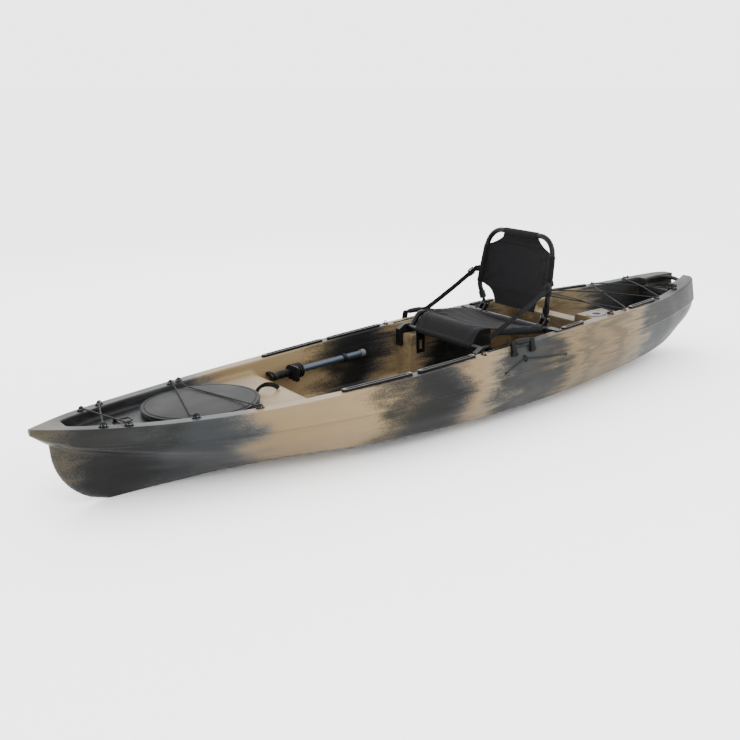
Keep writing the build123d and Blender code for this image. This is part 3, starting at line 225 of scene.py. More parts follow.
def make_studio():
    """Pale floor, white surroundings and three large soft lamps."""
    floor_mesh = bpy.data.meshes.new("studio_floor")
    reach = 300.0
    floor_mesh.from_pydata([(-reach, -reach, 0), (reach, -reach, 0), (reach, reach, 0), (-reach, reach, 0)],
                           [], [(0, 1, 2, 3)])
    floor = bpy.data.objects.new("studio_floor", floor_mesh)
    bpy.context.scene.collection.objects.link(floor)
    pale = bpy.data.materials.new("pale_floor")
    pale.use_nodes = True
    shader = pale.node_tree.nodes["Principled BSDF"]
    shader.inputs["Base Color"].default_value = (0.97, 0.97, 0.97, 1)
    shader.inputs["Roughness"].default_value = 0.9
    floor_mesh.materials.append(pale)
    world = bpy.data.worlds.new("studio")
    world.use_nodes = True
    world.node_tree.nodes["Background"].inputs["Color"].default_value = (1, 1, 1, 1)
    world.node_tree.nodes["Background"].inputs["Strength"].default_value = 3.6
    bpy.context.scene.world = world
    area_light("key", (-1.6, -3.4, 3.6), (0, 0, 0.2), (3.0, 2.0), 90)
    area_light("fill", (2.6, -3.0, 2.2), (0.5, 0, 0.3), (2.6, 1.6), 20)
    area_light("back", (0.4, 3.6, 3.0), (0, 0, 0.3), (4.0, 1.4), 80)


make_camera()
make_studio()


# ---------------------------------------------------------------- shader helpers
def srgb(red, green, blue):
    """Linear colour from 0-255 display values."""
    def linear(c):
        c = c / 255
        return c / 12.92 if c <= 0.04045 else ((c + 0.055) / 1.055) ** 2.4
    return (linear(red), linear(green), linear(blue), 1.0)


class Shader:
    """One node tree, with short calls to add and join nodes."""

    def __init__(self, tree):
        self.tree = tree

    def add(self, kind, inputs=None, **settings):
        node = self.tree.nodes.new(kind)
        for key, value in settings.items():
            setattr(node, key, value)
        for key, value in (inputs or {}).items():
            socket = node.inputs[key]
            if isinstance(value, bpy.types.NodeSocket):
                self.tree.links.new(value, socket)
            else:
                socket.default_value = value
        return node

    def join(self, source, target):
        self.tree.links.new(source, target)

    def math(self, operation, first, second=0.0, third=None, clamp=False):
        inputs = {0: first, 1: second}
        if third is not None:
            inputs[2] = third
        return self.add("ShaderNodeMath", inputs, operation=operation, use_clamp=clamp).outputs[0]

    def noise(self, vector, scale, detail=2.0, roughness=0.5, distortion=0.0):
        node = self.add("ShaderNodeTexNoise", {"Vector": vector, "Scale": scale, "Detail": detail,
                                               "Roughness": roughness, "Distortion": distortion})
        return node.outputs["Fac"]

    def stretch(self, vector, scale, turn=(0, 0, 0)):
        return self.add("ShaderNodeMapping", {"Vector": vector, "Scale": scale, "Rotation": turn}).outputs[0]

    def mix(self, factor, first, second, blend="MIX"):
        node = self.add("ShaderNodeMix", data_type="RGBA", blend_type=blend)
        for socket, value in ((node.inputs[0], factor), (node.inputs[6], first), (node.inputs[7], second)):
            if isinstance(value, bpy.types.NodeSocket):
                self.join(value, socket)
            else:
                socket.default_value = value
        return node.outputs[2]

    def ramp(self, factor, stops, smooth_stops=False):
        node = self.add("ShaderNodeValToRGB", {0: factor})
        if smooth_stops:
            node.color_ramp.interpolation = "EASE"
        elements = node.color_ramp.elements
        while len(elements) > 1:
            elements.remove(elements[-1])
        elements[0].position, elements[0].color = stops[0]
        for position, colour in stops[1:]:
            elements.new(position).color = colour
        return node.outputs[0]


def node_group(name, inputs, outputs):
    """Empty shader group with float, vector or colour sockets; returns (group, builder, in, out)."""
    group = bpy.data.node_groups.new(name, "ShaderNodeTree")
    for socket, kind, value in inputs:
        made = group.interface.new_socket(name=socket, in_out="INPUT", socket_type="NodeSocket" + kind)
        if value is not None:
            made.default_value = value
    for socket, kind in outputs:
        group.interface.new_socket(name=socket, in_out="OUTPUT", socket_type="NodeSocket" + kind)
    build = Shader(group)
    return group, build, build.add("NodeGroupInput").outputs, build.add("NodeGroupOutput").inputs


def make_moulded_group():
    """Skin of a moulded plastic: fine orange peel, a slow mottle, and faint rubbed patches."""
    group, build, source, result = node_group(
        "moulded_skin", [("Vector", "Vector", None), ("Grain", "Float", 700.0), ("Wear", "Float", 0.5)],
        [("Height", "Float"), ("Mottle", "Float"), ("Rubbed", "Float")])
    peel = build.noise(source["Vector"], source["Grain"], 2.0)
    slow = build.noise(source["Vector"], 9.0, 4.0)
    build.join(build.math("MULTIPLY_ADD", slow, 0.4, peel), result["Height"])
    build.join(slow, result["Mottle"])
    scratch = build.noise(build.stretch(source["Vector"], (6, 40, 90), (0.3, 0.2, 0.4)), 3.0, 6.0, 0.7)
    rubbed = build.math("MULTIPLY", build.math("SUBTRACT", scratch, 0.58), 6.0, clamp=True)
    build.join(build.math("MULTIPLY", rubbed, source["Wear"]), result["Rubbed"])
    return group


def make_weave_group():
    """Plain weave from a surface's own map: over-and-under threads, lit and shaded by turns."""
    group, build, source, result = node_group(
        "plain_weave", [("Vector", "Vector", None), ("Threads", "Float", 900.0)],
        [("Height", "Float"), ("Shade", "Float")])
    scaled = build.add("ShaderNodeVectorMath", {0: source["Vector"]}, operation="SCALE")
    build.join(source["Threads"], scaled.inputs["Scale"])
    parts = build.add("ShaderNodeSeparateXYZ", {0: scaled.outputs[0]})
    warp = build.math("SINE", build.math("MULTIPLY", parts.outputs[0], math.pi))
    weft = build.math("SINE", build.math("MULTIPLY", parts.outputs[1], math.pi))
    height = build.math("MULTIPLY", warp, weft)
    ribs = build.math("ABSOLUTE", height)
    checks = build.math("MULTIPLY_ADD", height, 0.5, 0.5)
    build.join(build.math("MULTIPLY_ADD", ribs, 0.6, checks), result["Height"])
    uneven = build.noise(source["Vector"], 60.0, 3.0)
    # Shade: the checks are painted light on the over-threads and painted shade on the under-threads; the
    # noise adds a random uneven tone.
    shade = build.math("MULTIPLY_ADD", checks, 0.35, build.math("MULTIPLY", uneven, 0.65))
    build.join(shade, result["Shade"])
    return group


moulded_skin = make_moulded_group()
plain_weave = make_weave_group()


def start_material(name, roughness, metallic=0.0, specular=0.12):
    """New material with its builder and its Principled shader."""
    material = bpy.data.materials.new(name)
    material.use_nodes = True
    build = Shader(material.node_tree)
    shader = material.node_tree.nodes["Principled BSDF"]
    shader.inputs["Roughness"].default_value = roughness
    shader.inputs["Metallic"].default_value = metallic
    shader.inputs["Specular IOR Level"].default_value = specular
    return material, build, shader


def add_bump(build, shader, height, distance, strength=1.0):
    """Bump from a height on a shader's normal."""
    node = build.add("ShaderNodeBump", {"Height": height, "Distance": distance, "Strength": strength})
    build.join(node.outputs[0], shader.inputs["Normal"])


def use_group(build, group, **inputs):
    """Node that uses a group; returns its outputs."""
    node = build.add("ShaderNodeGroup", node_tree=group)
    for key, value in inputs.items():
        if isinstance(value, bpy.types.NodeSocket):
            build.join(value, node.inputs[key])
        else:
            node.inputs[key].default_value = value
    return node.outputs


def object_place(build):
    """Object coordinates."""
    return build.add("ShaderNodeTexCoord").outputs["Object"]


def surface_map(build):
    """The piece's own map."""
    return build.add("ShaderNodeTexCoord").outputs["UV"]


# ---------------------------------------------------------------- materials
sand = srgb(101, 85, 61)
light_sand = srgb(113, 97, 72)
olive = srgb(56, 50, 38)
fog = srgb(66, 66, 62)
slate = srgb(32, 34, 36)
charcoal = srgb(14, 15, 15)
soot = srgb(7, 7, 8)
# Pigment along the length: where each colour stands, from the bow to the stern.
pigment = [(-1.776, olive), (-1.74, slate), (-1.70, charcoal), (-1.43, charcoal), (-1.37, slate),
           (-1.20, slate), (-1.13, fog), (-1.07, sand), (-0.62, light_sand), (-0.54, olive),
           (-0.46, charcoal), (-0.27, soot), (-0.18, slate), (-0.12, sand), (-0.02, light_sand),
           (0.04, fog), (0.09, charcoal), (0.22, slate), (0.36, charcoal), (0.43, olive),
           (0.52, sand), (0.64, olive), (0.74, sand), (0.88, olive), (0.98, light_sand),
           (1.08, fog), (1.15, slate), (1.33, slate), (1.41, charcoal), (1.60, soot), (1.776, charcoal)]


def hull_finish():
    """Moulded polyethylene in drifts of sand, slate and charcoal pigment with speckled borders."""
    material, build, shader = start_material("camouflage_polyethylene", 0.42)
    place = object_place(build)
    parts = build.add("ShaderNodeSeparateXYZ", {0: place})
    drift = build.noise(build.stretch(place, (1.5, 2.6, 4.0), (0, 0.16, 0.1)), 2.3, 4.0, 0.5, 0.4)
    wisps = build.noise(build.stretch(place, (1.6, 6.0, 20.0), (0, 0.20, 0.05)), 2.2, 4.0, 0.55, 0.8)
    speckle = build.noise(place, 460.0, 2.0, 0.6)
    aft = build.math("MULTIPLY_ADD", parts.outputs[0], 1.2, 0.30, clamp=True)
    pull = build.math("MULTIPLY_ADD", aft, 0.34, 0.12)
    shift = build.math("MULTIPLY_ADD", drift, 0.46, -0.23)
    shift = build.math("MULTIPLY_ADD", build.math("SUBTRACT", wisps, 0.5), pull, shift)
    shift = build.math("ADD", shift, build.math("MULTIPLY_ADD", speckle, 0.44, -0.22))
    lean = build.math("MULTIPLY_ADD", parts.outputs[1], -0.18, -0.07)
    along = build.math("ADD", build.math("ADD", parts.outputs[0], shift), lean)
    share = build.math("MULTIPLY_ADD", along, 1 / (2 * half), 0.5)
    stops = [((x + half) / (2 * half), colour) for x, colour in pigment]
    colour = build.ramp(share, stops)
    streak = build.math("MULTIPLY_ADD", wisps, 3.4, -1.55, clamp=True)
    streak = build.math("MULTIPLY", streak, build.math("MULTIPLY_ADD", aft, 0.5, 0.1))
    colour = build.mix(streak, colour, olive)
    grit = build.math("MULTIPLY_ADD", speckle, 3.0, -1.3, clamp=True)
    colour = build.mix(build.math("MULTIPLY", grit, 0.30), colour, soot)
    skin = use_group(build, moulded_skin, Vector=place, Grain=520.0, Wear=0.35)
    colour = build.mix(build.math("MULTIPLY", skin["Rubbed"], 0.35), colour, fog)
    build.join(colour, shader.inputs["Base Color"])
    build.join(build.math("MULTIPLY_ADD", skin["Mottle"], 0.22, 0.32), shader.inputs["Roughness"])
    add_bump(build, shader, skin["Height"], 0.0004, 0.6)
    return material


def plastic_finish(name, colour, roughness, grain=800.0, wear=0.5, lighter=1.9):
    """Moulded nylon or rubber: one tone with a slow mottle, grain and rubbed edges."""
    material, build, shader = start_material(name, roughness)
    place = object_place(build)
    skin = use_group(build, moulded_skin, Vector=place, Grain=grain, Wear=wear)
    pale = tuple(min(1.0, c * lighter + 0.002) for c in colour[:3]) + (1.0,)
    tone = build.mix(build.math("MULTIPLY", skin["Mottle"], 0.4), colour, pale)
    tone = build.mix(build.math("MULTIPLY", skin["Rubbed"], 0.5), tone, pale)
    build.join(tone, shader.inputs["Base Color"])
    build.join(build.math("MULTIPLY_ADD", skin["Mottle"], 0.2, roughness - 0.1), shader.inputs["Roughness"])
    add_bump(build, shader, skin["Height"], 0.00025, 0.7)
    return material


def metal_finish(name, colour, roughness, metallic):
    """Coated or bare tube: fine drawing lines, slight cloud in the gloss, small scuffs."""
    material, build, shader = start_material(name, roughness, metallic)
    place = object_place(build)
    skin = use_group(build, moulded_skin, Vector=place, Grain=300.0, Wear=0.6)
    pale = tuple(min(1.0, c * 1.8 + 0.008) for c in colour[:3]) + (1.0,)
    tone = build.mix(build.math("MULTIPLY", skin["Rubbed"], 0.6), colour, pale)
    build.join(tone, shader.inputs["Base Color"])
    build.join(build.math("MULTIPLY_ADD", skin["Mottle"], 0.24, roughness - 0.12), shader.inputs["Roughness"])
    add_bump(build, shader, skin["Height"], 0.00008, 0.5)
    return material


def cloth_finish(name, dark, light, threads, depth):
    """Coarse woven cloth from the piece's own map, with dusty wear and a soft sheen."""
    material, build, shader = start_material(name, 0.82, specular=0.08)
    place = surface_map(build)
    weave = use_group(build, plain_weave, Vector=place, Threads=threads)
    # The weave's Shade output gives painted light on the over-threads and painted shade on the under-threads,
    # mixed with a random uneven tone.
    tone = build.mix(weave["Shade"], dark, light)
    dust = build.noise(object_place(build), 14.0, 5.0, 0.6)
    tone = build.mix(build.math("MULTIPLY_ADD", dust, 0.5, -0.14, clamp=True), tone, light)
    build.join(tone, shader.inputs["Base Color"])
    shader.inputs["Sheen Weight"].default_value = 0.02
    shader.inputs["Sheen Roughness"].default_value = 0.5
    add_bump(build, shader, weave["Height"], depth, 0.8)
    return material


def cord_finish():
    """Braided cover of a shock cord: crossing diagonals on the cord's own map."""
    material, build, shader = start_material("braided_cover", 0.6)
    parts = build.add("ShaderNodeSeparateXYZ", {0: surface_map(build)})
    turns, length = parts.outputs[0], parts.outputs[1]
    around = build.math("MULTIPLY", turns, 6.0)
    along = build.math("MULTIPLY", length, 260.0)
    one = build.math("SINE", build.math("MULTIPLY", build.math("ADD", around, along), 2 * math.pi))
    two = build.math("SINE", build.math("MULTIPLY", build.math("SUBTRACT", around, along), 2 * math.pi))
    braid = build.math("MAXIMUM", one, two)
    # Lighter on the raised strands and darker in the grooves between them: painted shade in the grooves.
    tone = build.mix(build.math("MULTIPLY_ADD", braid, 0.5, 0.5, clamp=True), srgb(6, 6, 7), srgb(26, 26, 29))
    build.join(tone, shader.inputs["Base Color"])
    add_bump(build, shader, braid, 0.0004, 0.8)
    return material


finish = {
    "hull_plastic": hull_finish(),
    "black_plastic": plastic_finish("black_nylon", srgb(9, 9, 10), 0.46),
    "grey_plastic": plastic_finish("grey_plastic", srgb(66, 68, 70), 0.42),
    "rubber_seal": plastic_finish("sponge_rubber", srgb(18, 18, 18), 0.85, 1500.0, 0.2),
    "grip_rubber": plastic_finish("grip_rubber", srgb(12, 12, 13), 0.55, 1100.0, 0.6),
    "shock_cord": cord_finish(),
    "webbing": cloth_finish("nylon_webbing", srgb(6, 6, 6), srgb(19, 19, 20), 1400.0, 0.0003),
    "seat_fabric": cloth_finish("seat_mesh_cloth", srgb(3, 3, 4), srgb(13, 13, 15), 900.0, 0.00035),
    "black_tube": metal_finish("black_coated_tube", srgb(12, 12, 14), 0.34, 0.35),
    "grey_tube": metal_finish("grey_anodised_tube", srgb(60, 66, 76), 0.34, 0.7),
    "steel_fastener": metal_finish("stainless_steel", srgb(120, 120, 122), 0.25, 1.0),
    "foam": plastic_finish("closed_cell_foam", srgb(150, 150, 145), 0.9, 400.0, 0.1, 1.05),
    "hatch_lid": plastic_finish("hatch_lid_plastic", srgb(6, 6, 6), 0.6, 900.0, 0.35, 1.5),
}


# ---------------------------------------------------------------- surface helpers
def grid_faces(rows, columns, close_rows=False, close_columns=False):
    """Quads of a grid whose points are numbered row by row."""
    r = np.arange(rows if close_rows else rows - 1)
    c = np.arange(columns if close_columns else columns - 1)
    r, c = np.meshgrid(r, c, indexing="ij")
    r1, c1 = (r + 1) % rows, (c + 1) % columns
    quads = [r * columns + c, r * columns + c1, r1 * columns + c1, r1 * columns + c]
    return np.stack(quads, -1).reshape(-1, 4)


def new_piece(name, points, faces, body, slot, uv=None, finish_name=None, merge=1e-5, fill=False, sharp=40.0,
              outward=True):
    """Mesh piece on a body, with its finish; uv is one (u, v) for each point."""
    mesh = bpy.data.meshes.new(name)
    mesh.from_pydata(np.asarray(points, float).reshape(-1, 3).tolist(), [], np.asarray(faces).tolist())
    if uv is not None:
        layer = mesh.uv_layers.new(name="surface")
        index = np.zeros(len(mesh.loops), np.int32)
        mesh.loops.foreach_get("vertex_index", index)
        layer.data.foreach_set("uv", np.asarray(uv, np.float32).reshape(-1, 2)[index].ravel())
    edit = bmesh.new()
    edit.from_mesh(mesh)
    bmesh.ops.remove_doubles(edit, verts=edit.verts, dist=merge)
    bmesh.ops.dissolve_degenerate(edit, edges=edit.edges, dist=merge)
    if fill:
        bmesh.ops.holes_fill(edit, edges=[e for e in edit.edges if e.is_boundary], sides=0)
    if outward:
        bmesh.ops.recalc_face_normals(edit, faces=edit.faces)
    edit.to_mesh(mesh)
    edit.free()
    mesh.shade_smooth()
    mesh.set_sharp_from_angle(angle=math.radians(sharp))
    mesh.materials.append(finish[finish_name or slot])
    piece = bpy.data.objects.new(name, mesh)
    bpy.context.scene.collection.objects.link(piece)
    if body:
        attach(piece, body)
    return piece


def rounded(points, reach, corner_points, run_points):
    """Open polylines with their corners rounded by quadratic curves.

    points is (lines, corners, axes); reach is each inner corner's rounding distance, cut to
    0.45 of the shorter run beside it.  Every line gets the same number of points."""
    points = np.asarray(points, float)
    runs = np.linalg.norm(np.diff(points, axis=1), axis=2)
    room = 0.45 * np.minimum(runs[:, :-1], runs[:, 1:])
    reach = np.minimum(np.asarray(reach), room)[..., None]
    along = np.diff(points, axis=1) / np.maximum(runs, 1e-9)[..., None]
    start = points[:, 1:-1] - along[:, :-1] * reach
    end = points[:, 1:-1] + along[:, 1:] * reach
    pieces = [points[:, :1]]
    last = points[:, 0]
    for k in range(points.shape[1] - 2):
        t = np.linspace(0, 1, run_points[k] + 2)[1:-1, None]
        pieces.append(last[:, None] * (1 - t) + start[:, k][:, None] * t)
        t = np.linspace(0, 1, corner_points[k])[:, None]
        a, b, c = start[:, k][:, None], points[:, k + 1][:, None], end[:, k][:, None]
        pieces.append(a * (1 - t) ** 2 + 2 * b * t * (1 - t) + c * t**2)
        last = end[:, k]
    t = np.linspace(0, 1, run_points[-1] + 2)[1:, None]
    pieces.append(last[:, None] * (1 - t) + points[:, -1][:, None] * t)
    return np.concatenate(pieces, axis=1)


def bent_path(points, reach, corner=8, run=3):
    """One path through points, its corners rounded."""
    count = len(points)
    if count == 2:
        t = np.linspace(0, 1, run + 2)[:, None]
        return np.asarray(points[0], float) * (1 - t) + np.asarray(points[1], float) * t
    return rounded([points], [reach] * (count - 2), [corner] * (count - 2), [run] * (count - 1))[0]


def path_axes(path, up):
    """Tangent and two cross directions along a path; `up` is a rough direction never along it."""
    path = np.asarray(path, float)
    tangent = np.gradient(path, axis=0)
    tangent /= np.linalg.norm(tangent, axis=1)[:, None]
    side = np.cross(tangent, np.asarray(up, float))
    side /= np.linalg.norm(side, axis=1)[:, None]
    return tangent, side, np.cross(side, tangent)


def round_tube(path, radius, around=14, up=(0, 0, 1)):
    """Points, faces and map of a tube: circles square to the path, its ends left open."""
    tangent, side, over = path_axes(path, up)
    radius = np.broadcast_to(np.asarray(radius, float), (len(path),))
    angle = np.linspace(0, 2 * np.pi, around + 1)
    ring = (side[:, None] * np.cos(angle)[None, :, None] + over[:, None] * np.sin(angle)[None, :, None])
    points = np.asarray(path)[:, None] + ring * radius[:, None, None]
    walked = np.concatenate([[0], np.cumsum(np.linalg.norm(np.diff(path, axis=0), axis=1))])
    uv = np.stack(np.broadcast_arrays(angle[None] / (2 * np.pi), walked[:, None]), -1)
    return points, grid_faces(len(path), around + 1), uv


def ribbon(path, wide, thick, up, edge=0.35, wide_along_up=False):
    """Points, faces and map of a closed strap: a flat oval section carried along the path.

    Its faces look along `up`, or its width lies along `up` where wide_along_up is set."""
    tangent, side, over = path_axes(path, up)
    if wide_along_up:
        side, over = over, side
    angle = np.linspace(0, 2 * np.pi, 25)
    across = np.sign(np.cos(angle)) * np.abs(np.cos(angle)) ** edge * wide / 2
    height = np.sign(np.sin(angle)) * np.abs(np.sin(angle)) ** (edge * 2) * thick / 2
    points = (np.asarray(path)[:, None] + side[:, None] * across[None, :, None]
              + over[:, None] * height[None, :, None])
    walked = np.concatenate([[0], np.cumsum(np.linalg.norm(np.diff(path, axis=0), axis=1))])
    uv = np.stack(np.broadcast_arrays(across[None], walked[:, None]), -1)
    return points, grid_faces(len(path), 25), uv


def turned(profile, centre, axis, around=28):
    """Points and faces of a shape turned about an axis: profile holds (distance along, radius)."""
    axis = np.asarray(axis, float) / np.linalg.norm(axis)
    first = np.cross(axis, (0, 0, 1) if abs(axis[2]) < 0.9 else (1, 0, 0))
    first /= np.linalg.norm(first)
    second = np.cross(axis, first)
    angle = np.linspace(0, 2 * np.pi, around + 1)
    profile = np.asarray(profile, float)
    ring = first * np.cos(angle)[:, None] + second * np.sin(angle)[:, None]
    points = np.asarray(centre) + profile[:, None, :1] * axis + profile[:, None, 1:] * ring[None]
    return points, grid_faces(len(profile), around + 1)


def joined(parts):
    """One set of points, faces and maps from several."""
    points, faces, maps, count = [], [], [], 0
    for part in parts:
        flat = np.asarray(part[0]).reshape(-1, 3)
        points.append(flat)
        faces.append(np.asarray(part[1]) + count)
        maps.append(np.asarray(part[2]).reshape(-1, 2) if len(part) > 2 else flat[:, :2])
        count += len(flat)
    return np.concatenate(points), np.concatenate(faces), np.concatenate(maps)


# ---------------------------------------------------------------- hull
def deck_heights(x):
    """Heights of the deck's middle floor and of its side shelf, and the shelf's inner half breadth."""
    edge = sheer(x)
    bow = edge - bow_deck_drop * step(x, bow_recess_front)
    down = smooth((x - cockpit_front) / ramp)
    cockpit = bow + (cockpit_floor - bow) * down
    floor = cockpit + (bulkhead_top - cockpit) * step(x, cockpit_back)
    floor = floor + (well_floor - floor) * step(x, well_front)
    floor = floor + (stern_slot_floor - floor) * step(x, well_back)
    riser = step(x, riser_front) * (1 - step(x, riser_back))
    shelf = cockpit + (riser_top - cockpit) * riser
    shelf = shelf + (edge - shelf) * step(x, cockpit_back)
    shelf = shelf + (well_floor - shelf) * step(x, rod_block_back)
    shelf = shelf + (edge - shelf) * step(x, well_back)
    inner = np.interp(x, [-0.60, 0.55, 0.68, 0.98, 1.25, 1.50], [riser_inside, riser_inside, rod_block_inside,
                                                                rod_block_inside, 0.12, stern_slot_half])
    inner = np.minimum(inner, 0.62 * deck_inside(x))
    return floor, shelf, inner


def floor_relief(x, y):
    """Ribs, heel hollows and scupper rings on the cockpit floor, and ribs in the tank well."""
    side = np.abs(y)
    cockpit = step(x, -0.56, 0.08) * (1 - step(x, 0.69, 0.05))
    relief = 0.007 * cockpit * (bump((side - 0.062) / 0.013) + 0.8 * bump((side - 0.178) / 0.012))
    heel = bump((x + 0.22) / 0.17) * bump((side - 0.120) / 0.055)
    relief = relief - 0.010 * heel
    for scupper_x, scupper_y in scuppers:
        away = np.hypot(x - scupper_x, side - scupper_y)
        relief = relief + 0.005 * bump((away - 0.034) / 0.011)
    for centre, radius in ((-0.42, 0.17), (-0.05, 0.15), (0.30, 0.16)):
        away = np.hypot(x - centre, side - 0.02)
        relief = relief + 0.004 * cockpit * bump((away - radius) / 0.010) * (1 - step(side, 0.17, 0.03))
    well = step(x, well_front + 0.05, 0.05) * (1 - step(x, well_back - 0.05, 0.05))
    return relief + 0.009 * well * (bump((side - 0.045) / 0.018) + bump((side - 0.125) / 0.018) * (x > 1.0))


def hull_columns():
    """Stations along the hull: close in the stem's curve and at every step of the deck."""
    sweep = np.linspace(0.02, math.radians(61.0), 20)
    stem = stem_centre[0] - stem_radius * np.cos(sweep)
    steps = np.concatenate([at + np.linspace(-0.0075, 0.0075, 8) for at in
                            (bow_recess_front, riser_front, riser_back, cockpit_back, well_front,
                             rod_block_back, well_back)])
    tip = np.linspace(-half, -half + 0.058, 10)
    stern = half - 0.05 * np.linspace(1, 0, 9) ** 1.6
    close = np.concatenate([tip, stem, steps, stern])
    even = np.linspace(-half, half, 290)
    apart = np.abs(even[:, None] - close[None]).min(axis=1) > 0.006
    return np.sort(np.concatenate([close, even[apart]]))


def hull_outline(x):
    """Corner points of half a section at each x: keel, bilge, chine, side, knuckle, gunwale, deck."""
    share = x / half
    breadth = gunwale(x)
    out = knuckle(x)
    top = sheer(x)
    keel = np.where(share > 0.55, np.maximum(mm * fair(rocker, share), 0), 0)
    keel_y = keel_half * fair(keel_width, share)
    chine_y = half_beam * fair(chine_line, share)
    chine_z = mm * fair(chine_height, share)
    out_z = knuckle_z(x)
    lip = 0.009 * np.clip((x + half) / 0.3, 0, 1)
    floor, shelf, inner = deck_heights(x)
    inside = deck_inside(x)
    lean = np.interp(x, [-0.9, -0.62, 0.8, 0.9], [bow_ledge, ledge, ledge, well_ledge])
    base = np.minimum(floor, top - 0.001)
    reach = top + 0.08 - base

    def wall(z):
        return np.maximum(inside - lean * (1 - (z - base) / reach), 0.003)

    shelf_y = np.minimum(wall(shelf), np.maximum(wall(shelf), inner + 0.002))
    corners = [(0 * x, keel), (keel_y, keel),
               (keel_y + 0.5 * (chine_y - keel_y), keel + 0.36 * (chine_z - keel)),
               (chine_y, chine_z),
               (chine_y + 0.82 * (out - chine_y), chine_z + 0.55 * (out_z - chine_z)),
               (out - lip, out_z - 0.007), (out, out_z), (breadth + 0.005, top - 0.005), (breadth, top),
               (wall(top), top), (shelf_y, shelf), (inner, shelf), (inner, floor), (0 * x, floor)]
    return np.stack([np.stack(pair, -1) for pair in corners], 1)


corner_reach = [0.015, 0.070, 0.024, 0.060, 0.003, 0.004, 0.003, 0.003, 0.007, 0.014, 0.012, 0.016]
corner_counts = [3, 6, 6, 6, 3, 4, 3, 3, 4, 5, 5, 6]
run_counts = [1, 4, 4, 4, 4, 0, 5, 0, 2, 6, 4, 6, 22]


def inside_profile(x, z):
    """How far a point lies inside the bow's side profile: the beak above, the round stem below."""
    beak = beak_tip_low + (beak_root[1] - beak_tip_low) * np.clip((x + half) / beak_length, 0, 1)
    down = np.clip(stem_centre[1] - z, 0, stem_radius - 1e-4)
    stem = stem_centre[0] - np.sqrt(stem_radius**2 - down**2)
    straight = forefoot[0] + (forefoot[1] - z) * forefoot_run[0] / forefoot_run[1]
    stem = np.where(z < forefoot[1], straight, stem)
    return np.maximum(z - beak, x - stem)


def profile_bottom(x):
    """Lowest height of the hull in the side view at each x near the bow."""
    beak = beak_tip_low + (beak_root[1] - beak_tip_low) * np.clip((x + half) / beak_length, 0, 1)
    across = np.clip(stem_centre[0] - x, 0, stem_radius)
    arc = stem_centre[1] - np.sqrt(stem_radius**2 - across**2)
    low = np.where(x < stem_centre[0] - stem_radius, beak, arc)
    run = forefoot[1] - (x - forefoot[0]) * forefoot_run[1] / forefoot_run[0]
    return np.where(x > forefoot[0], np.maximum(run, 0), low)


def hull_points():
    """Rings of points: half outlines rounded, drawn in at the bow and stern, and mirrored."""
    x = hull_columns()
    half_ring = rounded(hull_outline(x), corner_reach, corner_counts, run_counts)
    y, z = half_ring[..., 0].copy(), half_ring[..., 1].copy()
    columns = np.broadcast_to(x[:, None], y.shape)
    low = profile_bottom(x)[:, None]
    z = np.maximum(z, low)
    depth = inside_profile(columns, z)
    nose = np.clip(depth / 0.05, 0, 1)
    near_bow = x[:, None] < -half + 0.40
    y = np.where(near_bow, y * np.sqrt(np.maximum(1 - (1 - nose) ** 2, 0)), y)
    floor_row = sum(corner_counts) + sum(run_counts[:-1]) + 1
    outer = np.arange(y.shape[1]) < floor_row
    z = np.where(outer, z, z + floor_relief(columns, y))
    stern = np.clip((half - columns) / 0.05, 0, 1)
    tuck = 0.80 + 0.20 * np.sqrt(np.maximum(1 - (1 - stern) ** 2, 0))
    gunwale_row = sum(corner_counts[:8]) + sum(run_counts[:9]) + 1
    skin = np.arange(y.shape[1]) < gunwale_row
    y = np.where(skin, y * tuck, y)
    starboard = np.stack([columns, y, z], -1)
    port = starboard[:, -2:0:-1] * (1, -1, 1)
    return np.concatenate([starboard, port], 1)


def cut_cylinder(start, end, radius, around=40):
    """Closed cylinder from start to end."""
    axis = np.subtract(end, start)
    length = float(np.linalg.norm(axis))
    return turned([(0, 0), (0, radius), (length, radius), (length, 0)], start, axis, around)


def hull_cutters():
    """Round holes: scuppers, drain, rod holders, and the hatch's oval mouth."""
    parts = []
    for x, y in scuppers:
        for side in (1, -1):
            top = 0.215 if x > well_front else 0.13
            parts.append(cut_cylinder((x, side * y, -0.02), (x, side * y, top), scupper_radius))
    parts.append(cut_cylinder((drain_x, 0, 0.30), (drain_x, 0, 0.37), drain_radius))
    lean = np.array([math.sin(rod_tilt), 0, math.cos(rod_tilt)])
    for side in (1, -1):
        mouth = np.array([rod_x, side * rod_y, float(sheer(rod_x))])
        parts.append(cut_cylinder(mouth - lean * 0.17, mouth + lean * 0.05, rod_hole_radius))
    points, faces = cut_cylinder((0, 0, 0.10), (0, 0, 0.285), 1.0, 72)
    oval = points * (hatch_long / 2 - hatch_flange, hatch_wide / 2 - hatch_flange, 1) + (hatch_x, 0, 0)
    parts.append((oval, faces))
    points, faces, _ = joined(parts)
    return points, faces


def make_hull():
    """Closed skin of rings along the hull, less the cutters' holes."""
    rings = hull_points()
    faces = grid_faces(rings.shape[0], rings.shape[1], close_columns=True)
    hull = new_piece("hull_skin", rings, faces, None, "hull_plastic", fill=True, merge=4e-5)
    points, faces = hull_cutters()
    cutter = new_piece("hull_cutter", points, faces, None, "hull_plastic")
    cut = hull.modifiers.new("holes", "BOOLEAN")
    cut.object = cutter
    cut.solver = "EXACT"
    bpy.context.view_layer.update()
    shaped = bpy.data.meshes.new_from_object(hull.evaluated_get(bpy.context.evaluated_depsgraph_get()))
    hull.modifiers.clear()
    hull.data = shaped
    shaped.materials.clear()
    shaped.materials.append(finish["hull_plastic"])
    bpy.data.objects.remove(cutter)
    shaped.shade_smooth()
    shaped.set_sharp_from_angle(angle=math.radians(38))
    hull.modifiers.new("even_shading", "WEIGHTED_NORMAL").keep_sharp = True
    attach(hull, "hull_body")
    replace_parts(hull, "hull")


make_hull()

